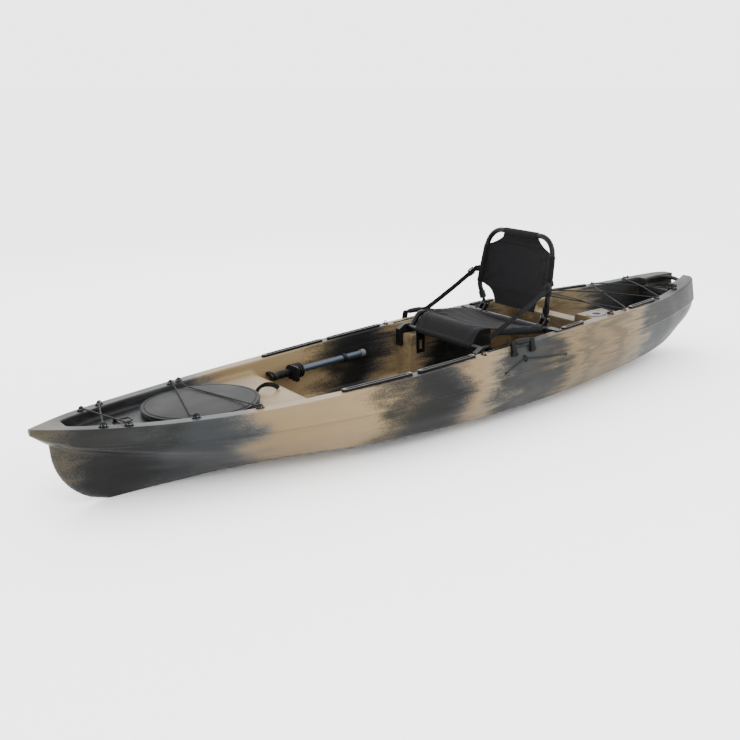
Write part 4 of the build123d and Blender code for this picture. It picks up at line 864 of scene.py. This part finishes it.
# ---------------------------------------------------------------- bow hatch lid
def make_hatch_lid():
    """Oval lid: rings of an ellipse, from the rolled rim over a groove to a low crown that rises
    as one less the fourth power of the share of the radius."""
    low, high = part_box("bow_hatch_lid")
    long, wide = (high[0] - low[0]) / 2, (high[1] - low[1]) / 2
    spigot_low, top = low[2], high[2]
    plate_low = spigot_low + 0.012
    plate_top = plate_low + 0.0075
    spigot = 0.043
    inset_height = [(spigot + 0.006, spigot_low), (spigot, spigot_low), (spigot, plate_low),
                    (0.004, plate_low), (0.0012, plate_low + 0.001), (0.0, plate_low + 0.0035),
                    (0.001, plate_top - 0.0012), (0.0035, plate_top), (0.0105, plate_top),
                    (0.0125, plate_top - 0.0018), (0.0150, plate_top - 0.0018), (0.0175, plate_top + 0.001)]
    profile = np.array(inset_height)
    share = np.linspace(1.0, 0.0, 26)[1:]
    crown_edge = profile[-1, 0]
    crown = np.stack([crown_edge + (long - crown_edge) * (1 - share),
                      plate_top + 0.001 + (top - plate_top - 0.001) * (1 - share**4)], -1)
    under = np.array([(long, plate_low - 0.002), (spigot + 0.006, plate_low - 0.002)])
    profile = np.concatenate([under, profile, crown])
    angle = np.linspace(0, 2 * np.pi, 121)
    a = np.maximum(long - profile[:, 0], 0)[:, None]
    b = np.maximum(wide - profile[:, 0] * np.where(profile[:, 0] > crown_edge, wide / long, 1), 0)[:, None]
    b = np.where(a < 1e-9, 0, b)
    b[0] = 0
    height = np.broadcast_to(profile[:, 1:], (len(profile), len(angle)))
    points = np.stack([hatch_x + a * np.cos(angle), b * np.sin(angle), height], -1)
    lid = new_piece("hatch_lid_shell", points, grid_faces(len(profile), len(angle)), "hatch_cover",
                    "black_plastic", finish_name="hatch_lid")
    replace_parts(lid, "bow_hatch_lid")


make_hatch_lid()


# ---------------------------------------------------------------- shock cords
def eye(x, side, from_edge):
    """Centre of the cord where it passes a pad-eye on the gunwale."""
    return np.array([x, side * (float(gunwale(x)) - from_edge), float(sheer(x)) + eye_height])


def band_point(x, share, off):
    """Point on the upper side band of the starboard side, share of the way down to the knuckle."""
    top = np.array([x, float(gunwale(x)) + 0.005, float(sheer(x)) - 0.005])
    low = np.array([x, float(knuckle(x)), float(knuckle_z(x))])
    out = np.array([0, top[2] - low[2], low[1] - top[1]])
    return top + (low - top) * share + out / np.linalg.norm(out) * off


def hook(centre, toward, radius=0.0042):
    """Knotted end of a cord at an eye: three close turns of cord, as a short ribbed barrel."""
    run = np.subtract(toward, centre)
    run = run / np.linalg.norm(run)
    t = np.linspace(0, 1, 31)
    swell = radius * (1 + 0.16 * np.cos(6 * np.pi * t)) * np.sqrt(np.maximum(1 - (2 * t - 1) ** 6, 0))
    points, faces = turned(np.stack([-0.007 + 0.014 * t, swell], -1), centre, run, 16)
    flat = points.reshape(-1, 3)
    return points, faces, np.stack([flat[:, 0] * 8, flat[:, 1]], -1)


def make_bow_cords():
    """Two cords that cross over the bow deck between the forward eyes."""
    ahead, aft = -half + 0.215, -half + 0.292
    parts = []
    for side in (1, -1):
        start, end = eye(ahead, side, rim / 2), eye(aft, -side, rim / 2)
        t = np.linspace(0, 1, 40)[:, None]
        path = start + (end - start) * t
        path[:, 2] += (-0.006 + 0.005 * side) * np.sin(np.pi * t[:, 0])
        parts += [round_tube(path, shock_cord_width / 2), hook(start, end), hook(end, start)]
    points, faces, uv = joined(parts)
    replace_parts(new_piece("bow_deck_cords", points, faces, "hull_body", "shock_cord", uv), "bow_bungee")


def make_hatch_cords():
    """Each cord bends over the lid's rim at both sides, and is made as two halves."""
    low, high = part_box("bow_hatch_lid")
    over = high[2] + shock_cord_width / 2 + 0.001
    for name, start_x, end_x in (("front", hatch_x - 0.020, hatch_x - 0.115),
                                 ("rear", hatch_x + 0.018, hatch_x + 0.110)):
        stops = []
        for x, side in ((start_x, 1), (end_x, -1)):
            share = (x - hatch_x) / (hatch_long / 2)
            rim_y = side * hatch_wide / 2 * math.sqrt(1 - share**2)
            pair = [eye(x, side, rim - 0.011), np.array([x, rim_y * 0.90, over])]
            stops += pair if side > 0 else pair[::-1]
        whole = bent_path(stops, 0.030, 14, 26)
        cut = len(whole) // 2
        for end, path, anchor in (("starboard", whole[:cut + 1], stops[0]), ("port", whole[cut:], stops[3])):
            ring = round_tube(path, shock_cord_width / 2)
            points, faces, uv = joined([ring, hook(anchor, path[cut // 2])])
            cord = new_piece(f"hatch_cord_{name}_{end}", points, faces, None, "shock_cord", uv)
            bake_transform(cord)
            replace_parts(cord, f"hatch_bungee_{name}")


def make_well_cords():
    """Two cords laced from side to side over the tank well, one passing above the other."""
    eyes = (0.875, 0.985, 1.310, 1.520)
    parts = []
    for first in (1, -1):
        side = first
        stops = []
        for k, x in enumerate(eyes):
            centre = eye(x, side, rim - 0.012)
            ahead = eye(x + 0.01, side, rim - 0.012)
            run = (ahead - centre) / np.linalg.norm(ahead - centre)
            stops.append(centre - run * (0.024 if k == 0 else 0.016))
            stops.append(centre + run * (0.016 if k < len(eyes) - 1 else 0.024))
            if k < len(eyes) - 1 and first < 0:
                stops.append((centre + eye(eyes[k + 1], -side, rim - 0.012)) / 2 + (0, 0, 0.009))
            side = -side
        path = bent_path(stops, 0.016, 8, 12)
        parts += [round_tube(path, shock_cord_width / 2), hook(stops[0], stops[1], 0.006),
                  hook(stops[-1], stops[-2], 0.006)]
    points, faces, uv = joined(parts)
    cords = new_piece("tank_well_cords", points, faces, "hull_body", "shock_cord", uv)
    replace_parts(cords, "tank_well_bungee")


def make_keeper_cord():
    """Cord along the port side band, through one eye, with a knot at each end."""
    off, over_eye = 0.0047, 0.0083
    stops = [band_point(0.045, 0.80, off), band_point(0.169, 0.47, over_eye),
             band_point(0.191, 0.47, over_eye), band_point(0.255, 0.47 + 0.33 * 75 / 248, off),
             band_point(0.428, 0.80, off)]
    stops = [stop * (1, -1, 1) for stop in stops]
    path = bent_path(stops, 0.02, 8, 14)
    points, faces, uv = joined([round_tube(path, 0.0025), hook(stops[0], stops[1]),
                                hook(stops[-1], stops[-2])])
    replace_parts(new_piece("paddle_keeper_cord", points, faces, "hull_body", "shock_cord", uv),
                "paddle_keeper_bungee")


make_bow_cords()
make_hatch_cords()
make_well_cords()
make_keeper_cord()


def make_tether():
    """Webbing loop behind the hatch: an arch that leans and twists a little as it falls."""
    low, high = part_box("hatch_tether")
    t = np.linspace(0, 1, 60)
    x = low[0] + 0.002 + (high[0] - low[0] - 0.004) * t
    z = low[2] + 0.0015 + (high[2] - low[2] - 0.003) * np.sin(np.pi * t) ** 0.8
    y = 0.006 * np.sin(2 * np.pi * t)
    points, faces, uv = ribbon(np.stack([x, y, z], -1), 0.019, 0.0022, (0.0, 1.0, 0.0))
    centre = np.stack([x, y, z], -1)[:, None]
    around = points - centre
    turn = 0.35 * np.sin(2 * np.pi * t)[:, None]
    points = np.stack([around[..., 0], around[..., 1] * np.cos(turn) - around[..., 2] * np.sin(turn),
                       around[..., 1] * np.sin(turn) + around[..., 2] * np.cos(turn)], -1) + centre
    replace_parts(new_piece("hatch_tether_loop", points, faces, "hull_body", "webbing", uv), "hatch_tether")


make_tether()

# ---------------------------------------------------------------- seat
front_bar = np.array([0.054, 0.332])
rear_bar = np.array([0.462, 0.350])
rail_half = 0.246
pan_front = np.array([0.104, 0.396])
hinge = np.array([0.494, 0.208, 0.392])
waist = np.array([0.478, 0.234, 0.490])
crest = np.array([0.530, 0.214, 0.764])
cloth = 0.0026


def back_frame(z):
    """Centre of the starboard back tube at each height: (x, half breadth)."""
    x = np.interp(z, [hinge[2], waist[2], crest[2]], [hinge[0], waist[0], crest[0]])
    y = np.interp(z, [hinge[2], waist[2], crest[2]], [hinge[1], waist[1], crest[1]])
    return x, y


def closed_sheet(middle, thick):
    """Closed cloth: a grid of middle points moved half the thickness along its normals both ways."""
    along = np.gradient(middle, axis=0)
    across = np.gradient(middle, axis=1)
    normal = np.cross(along, across)
    normal /= np.maximum(np.linalg.norm(normal, axis=2), 1e-9)[..., None]
    rows, columns = middle.shape[:2]
    front, back = middle + normal * thick / 2, middle - normal * thick / 2
    faces = grid_faces(rows, columns)
    border = np.concatenate([np.arange(columns), np.arange(1, rows) * columns + columns - 1,
                             (rows - 1) * columns + np.arange(columns - 2, -1, -1),
                             np.arange(rows - 2, 0, -1) * columns])
    following = np.roll(border, -1)
    count = rows * columns
    edge = np.stack([border, following, following + count, border + count], -1)
    points = np.concatenate([front.reshape(-1, 3), back.reshape(-1, 3)])
    return points, np.concatenate([faces, faces[:, ::-1] + count, edge[:, ::-1]])


def stitched(value, place, width=0.0016):
    """Narrow groove at a place on a surface parameter."""
    return bump((value - place) / width)


def make_back_cloth():
    """Sheet between the back tubes.  Its half breadth follows the frame, drawn in by curves at the
    top corners and the lower sides; it sags back by a parabola across, and pulls into folds
    that fade away from each corner."""
    z_low, z_high = 0.408, 0.764
    v = np.linspace(0, 1, 130)
    z = z_low + (z_high - z_low) * v
    frame_x, frame_y = back_frame(z)
    inner = np.interp(z, [z_low, 0.452, 0.476, 0.492, 0.504], [0.132, 0.146, 0.160, 0.185, 0.232])
    outer = np.interp(z, [0.680, 0.690, 0.708, 0.730, z_high], [0.236, 0.200, 0.158, 0.124, 0.110])
    kernel = np.hanning(9) / np.hanning(9).sum()
    breadth = np.minimum(np.minimum(inner, outer), frame_y - 0.002)
    breadth = np.convolve(np.pad(breadth, 4, mode="edge"), kernel, mode="valid")
    breadth = np.minimum(breadth, frame_y - 0.002)
    u = np.linspace(-1, 1, 121)
    y = breadth[:, None] * u
    share = y / frame_y[:, None]
    held = smooth(v / 0.25) * smooth((1 - v) / 0.12)
    sag = (0.005 + 0.015 * held)[:, None] * (1 - share**2)
    folds = 0
    corners = ((0.235, 0.684, 9), (-0.235, 0.684, 9), (0.225, 0.505, 7), (-0.225, 0.505, 7))
    for corner_y, corner_z, count in corners:
        away = np.hypot(y - corner_y, z[:, None] - corner_z)
        bearing = np.arctan2(z[:, None] - corner_z, corner_y - y)
        folds = folds + 0.0016 * np.sin(bearing * count) * np.exp(-((away - 0.06) / 0.07) ** 2)
    slack = 0.0020 * np.sin(z[:, None] * 58 + 2.4 * share) * (1 - share**2) * (1 - held)[:, None]
    band = step(z, 0.705, 0.006)[:, None] * bump(share / 1.3) ** 0.35
    x = frame_x[:, None] + sag + folds + slack - 0.0045 * band
    seam = stitched(np.abs(y), 0.150) + 0.7 * stitched(np.abs(y), 0.158) + stitched(z[:, None], 0.702)
    x = x + 0.0010 * seam
    middle = np.stack([x, y, np.broadcast_to(z[:, None], y.shape)], -1)
    points, faces = closed_sheet(middle, cloth)
    uv = np.tile(np.stack(np.broadcast_arrays(y, z[:, None]), -1).reshape(-1, 2), (2, 1))
    sheet = new_piece("seat_back_cloth", points, faces, "seat_back", "seat_fabric", uv, outward=True)
    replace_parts(sheet, "seat_back_sling")
    return sheet, middle, breadth, z


def sleeve(path, fuller, ripple, waves, up=(0, 0, 1)):
    """Cloth hem round a tube along a path: its radius swells by a sine between the ends, with a
    small ripple, and closes on the tube at both ends."""
    t = np.linspace(0, 1, len(path))
    radius = sleeve_radius * (1 + fuller * np.sin(np.pi * t) + ripple * np.sin(t * waves))
    radius[0] = radius[-1] = sleeve_end
    return round_tube(path, radius, 24, up)


def bar_path(bar, reach, count):
    """Straight path across the boat at a bar's (x, z), from port to starboard."""
    across = np.linspace(-reach, reach, count)
    return np.stack([np.full(count, bar[0]), across, np.full(count, bar[1])], -1)


def make_back_hems():
    """Sleeves round both side tubes and round the top tube between the corner openings."""
    z = np.linspace(0.500, 0.684, 60)
    x, y = back_frame(z)
    parts = [sleeve(np.stack([x, side * y, z], -1), 0.035, 0.012, 41, (1, 0, 0.01)) for side in (1, -1)]
    parts.append(sleeve(bar_path(crest[[0, 2]], 0.113, 50), 0.02, 0.01, 37))
    points, faces, uv = joined(parts)
    return new_piece("seat_back_hems", points, faces, "seat_back", "seat_fabric", uv)


def make_back_binding(middle):
    """Rolled binding along the cloth's free edges."""
    parts = []
    z = middle[:, 0, 2]
    for column in (0, -1):
        for low, high in ((0.407, 0.503), (0.681, 0.752)):
            path = middle[(z > low) & (z < high), column]
            parts.append(round_tube(path, binding_radius, 10, (1, 0, 0.01)))
    parts.append(round_tube(middle[0], binding_radius, 10, (1, 0, 0.01)))
    points, faces, uv = joined(parts)
    return new_piece("seat_back_binding", points, faces, "seat_back", "webbing", uv)


def pan_line(s):
    """Centre line of the pan cloth in the side view, as (x, z) for shares 0 to 1 of its run: along
    the rails from the rear bar, over a round nose and down behind the front bar."""
    rise = sleeve_radius
    slope = (rear_bar[1] - pan_front[1]) / (rear_bar[0] - pan_front[0])
    stops = [np.array([0.434, pan_front[1] + slope * (0.434 - pan_front[0]) + rise]),
             np.array([pan_front[0] - 0.012, pan_front[1] + rise + 0.001]),
             front_bar + np.array([-0.0125, 0.006])]
    line = bent_path([np.append(stop, 0) for stop in stops], 0.045, 40, 60)[:, :2]
    walked = np.concatenate([[0], np.cumsum(np.linalg.norm(np.diff(line, axis=0), axis=1))])
    s = np.asarray(s) * walked[-1]
    return np.interp(s, walked, line[:, 0]), np.interp(s, walked, line[:, 1]), walked[-1]


def make_pan_cloth():
    """Sheet over the pan rails: it sags by a parabola between them, rolls over the front and narrows
    in a quarter oval at each front corner, with folds fanning from the corners."""
    s = np.linspace(0, 1, 150)
    x, z, length = pan_line(s)
    nose = np.clip((0.150 - x) / (0.150 - 0.072), 0, 1)
    narrow = 0.052 * np.sqrt(np.maximum(1 - (1 - nose) ** 2, 0))
    breadth = rail_half + 0.004 - narrow
    u = np.linspace(-1, 1, 121)
    y = breadth[:, None] * u
    share = y / rail_half
    flat = smooth((x - 0.085) / 0.10) * smooth((0.434 - x) / 0.03 + 0.35)
    sag = (0.003 + 0.019 * flat)[:, None] * (1 - np.abs(share) ** 2.4)
    folds = 0
    for side in (1, -1):
        away = np.hypot(x[:, None] - 0.150, y - side * 0.215)
        bearing = np.arctan2(y * side - 0.215, x[:, None] - 0.150)
        folds = folds + 0.0017 * np.sin(bearing * 9) * np.exp(-((away - 0.05) / 0.06) ** 2)
    slack = 0.0012 * np.sin(s * 40)[:, None] * np.sin(share * 2.2 + 0.6) * flat[:, None]
    seam = stitched(np.abs(y), 0.212) + 0.8 * stitched(np.abs(y), 0.206)
    seam = seam + stitched(s[:, None], 0.715, 0.004)
    lift = folds + slack - 0.0010 * seam - sag
    run_x, run_z = np.gradient(x), np.gradient(z)
    size = np.hypot(run_x, run_z)
    normal = np.stack([run_z / size, -run_x / size], -1)
    middle = np.stack([x[:, None] + normal[:, :1] * lift, y, z[:, None] + normal[:, 1:] * lift], -1)
    points, faces = closed_sheet(middle, cloth)
    uv = np.tile(np.stack(np.broadcast_arrays(y, (s * length)[:, None]), -1).reshape(-1, 2), (2, 1))
    sheet = new_piece("seat_pan_cloth", points, faces, "seat_base", "seat_fabric", uv)
    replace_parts(sheet, "seat_pan_sling")
    return sheet, middle, breadth, length


def make_pan_hems():
    """Sleeves round both rails and round the front bar."""
    slope = (rear_bar[1] - pan_front[1]) / (rear_bar[0] - pan_front[0])
    x = np.linspace(0.428, 0.150, 70)
    height = pan_front[1] + slope * (x - pan_front[0])
    parts = [sleeve(np.stack([x, np.full(70, side * rail_half), height], -1), 0.03, 0.012, 37)
             for side in (1, -1)]
    parts.append(sleeve(bar_path(front_bar, 0.196, 80), 0.02, 0.012, 53))
    points, faces, uv = joined(parts)
    return new_piece("seat_pan_hems", points, faces, "seat_base", "seat_fabric", uv)


def make_pan_binding(middle):
    """Rolled binding along the pan cloth's front corners and its front edge."""
    parts = []
    x = middle[:, 0, 0]
    for column in (0, -1):
        path = middle[x < 0.152, column]
        parts.append(round_tube(path[:-2], binding_radius, 10))
    parts.append(round_tube(middle[0], binding_radius, 10))
    points, faces, uv = joined(parts)
    return new_piece("seat_pan_binding", points, faces, "seat_base", "webbing", uv)


back_cloth, back_middle, back_breadth, back_heights = make_back_cloth()
back_hems = make_back_hems()
back_binding = make_back_binding(back_middle)
pan_cloth, pan_middle, pan_breadth, pan_length = make_pan_cloth()
pan_hems = make_pan_hems()
pan_binding = make_pan_binding(pan_middle)


def strap_ends(side_name):
    """First and last point of a seat strap's middle line, from the model's strap."""
    low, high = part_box(f"seat_strap_{side_name}")
    y = (low[1] + high[1]) / 2
    return np.array([low[0] + 0.012, y, low[2] + 0.008]), np.array([high[0] - 0.012, y, high[2] - 0.008])


def make_seat_straps():
    """Adjusting straps on edge beside the frames: a flat ribbon with a shallow sag, a ladder buckle
    near the back tube, and a loose tail below it."""
    for side_name, side in (("starboard", 1), ("port", -1)):
        start, end = strap_ends(side_name)
        t = np.linspace(0, 1, 70)[:, None]
        path = start + (end - start) * t
        path[:, 2] -= 0.006 * np.sin(np.pi * t[:, 0])
        parts = [ribbon(path, strap_wide, strap_thick, (0, 1, 0))]
        tail = path[30:61].copy()
        tail[:, 1] += side * 0.0032
        tail[:, 2] -= 0.004 * np.sin(np.linspace(0, 1.2, 31))
        parts.append(ribbon(tail, 0.024, 0.0018, (0, 1, 0)))
        points, faces, uv = joined(parts)
        strap = new_piece(f"seat_strap_web_{side_name}", points, faces, None, "webbing", uv)
        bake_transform(strap)
        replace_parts(strap, f"seat_strap_{side_name}")


def strap_loop(end, run, side):
    """Webbing turned round a back tube: a half circle behind the tube and two straight legs that
    meet at the strap's end."""
    tube_x, tube_y = back_frame(end[2])
    reach = 0.0165
    centre = np.array([tube_x, side * tube_y, end[2]])
    tail = end - run * 0.020
    toward = tail - centre
    toward /= np.linalg.norm(toward)
    plane = np.cross(toward, (0, side, 0))
    plane /= np.linalg.norm(plane)
    across = np.cross(plane, toward)
    angle = np.linspace(np.radians(62), np.radians(298), 40)
    arc = centre + reach * (np.cos(angle)[:, None] * toward + np.sin(angle)[:, None] * across)
    path = np.concatenate([tail + (arc[0] - tail) * np.linspace(0, 1, 12)[:-1, None], arc,
                           arc[-1] + (tail - arc[-1]) * np.linspace(0, 1, 12)[1:, None]])
    return ribbon(path, strap_wide, strap_thick, plane, wide_along_up=True)


def make_seat_buckles():
    """Ladder-lock buckles, a rounded frame with three cross bars, and the straps' loops at the back."""
    for side_name, side in (("starboard", 1), ("port", -1)):
        start, end = strap_ends(side_name)
        run = (end - start) / np.linalg.norm(end - start)
        up = np.cross((0, 1, 0), run)
        up = up * (1 if up[2] > 0 else -1)
        centre = start + (end - start) * 0.90
        out = np.array([0, side, 0])
        wide, long = 0.0165, 0.017
        corners = [centre + up * a * wide + run * b * long for a, b in
                   ((0, -1), (1, -1), (1, 1), (-1, 1), (-1, -1), (0, -1))]
        loop = bent_path(corners, 0.005, 8, 4)
        parts = [round_tube(loop, 0.0030, 12, (0, 1, 0.01))]
        for place in (-0.45, 0.1, 0.62):
            middle = centre + run * long * place + out * 0.0028
            bar = np.array([middle + up * wide * a for a in np.linspace(-1, 1, 8)])
            parts.append(round_tube(bar, 0.0024, 12, (0, 1, 0.01)))
        points, faces, uv = joined(parts)
        wrap, wrap_faces, wrap_uv = strap_loop(end, run, side)
        loop = new_piece(f"seat_strap_loop_{side_name}", wrap, wrap_faces, "seat_back", "webbing", wrap_uv)
        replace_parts(loop, f"seat_strap_{side_name}")
        buckle = new_piece(f"seat_buckle_{side_name}", points, faces, "seat_back", "black_plastic", uv)
        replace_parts(buckle, "seat_strap_buckles")


make_seat_straps()
make_seat_buckles()


# ---------------------------------------------------------------- side handles
def make_side_handles():
    """Moulded grips with four finger waves on webbing links that wrap the grip's core and the pin."""
    for side_name, side in (("starboard", 1), ("port", -1)):
        low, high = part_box(f"side_handle_grip_{side_name}")
        centre = np.array([(low[0] + high[0]) / 2, (low[1] + high[1]) / 2, (low[2] + high[2]) / 2])
        t = np.linspace(-1, 1, 90)
        swell = 0.0104 + 0.0016 * (1 - t**2) + 0.0010 * np.cos(t * 4.5 * 2 * np.pi)
        swell = swell * np.minimum(1, np.sqrt(np.maximum(1 - np.abs(t) ** 14, 0)))
        grip_profile = np.stack([t * 0.043, swell], -1)
        points, faces = turned(grip_profile, centre, (1, 0, 0), 32)
        core, core_faces = turned([(-0.070, 0), (-0.070, 0.0044), (-0.0695, 0.005), (0.0695, 0.005),
                                   (0.070, 0.0044), (0.070, 0)], centre, (1, 0, 0), 24)
        points, faces, _ = joined([(points, faces), (core, core_faces)])
        grip = new_piece(f"side_grip_{side_name}", points, faces, f"handle_{side_name}", "grip_rubber")
        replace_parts(grip, f"side_handle_grip_{side_name}")
        web_low, web_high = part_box(f"side_handle_webbing_{side_name}")
        pin = np.array([0, side * 0.39099, 0.32852])
        parts = []
        for x in (web_low[0] + 0.012, web_high[0] - 0.012):
            top = np.array([x, centre[1], centre[2]])
            foot = np.array([x, pin[1], pin[2]])
            run = (top - foot) / np.linalg.norm(top - foot)
            out = np.cross(run, (1, 0, 0))
            angle = np.linspace(-np.pi / 2, np.pi / 2, 14)
            over = [top + 0.0068 * (np.cos(a) * run + np.sin(a) * out) for a in angle]
            under = [foot + 0.0050 * (-np.cos(a) * run - np.sin(a) * out) for a in angle]
            path = np.array(over + under + [over[0]])
            parts.append(ribbon(path, link_wide, link_thick, (1, 0, 0), wide_along_up=True))
        points, faces, uv = joined(parts)
        web = new_piece(f"side_handle_links_{side_name}", points, faces, f"handle_{side_name}",
                        "webbing", uv)
        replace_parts(web, f"side_handle_webbing_{side_name}")


make_side_handles()

# ---------------------------------------------------------------- finishes of pieces that keep their shape
slots = {entry["node"]: entry["material_slot"] for entry in frame["record"]["subparts"]}
for node_name, node in frame["nodes"].items():
    node.data.materials.clear()
    node.data.materials.append(finish[slots[node_name]])
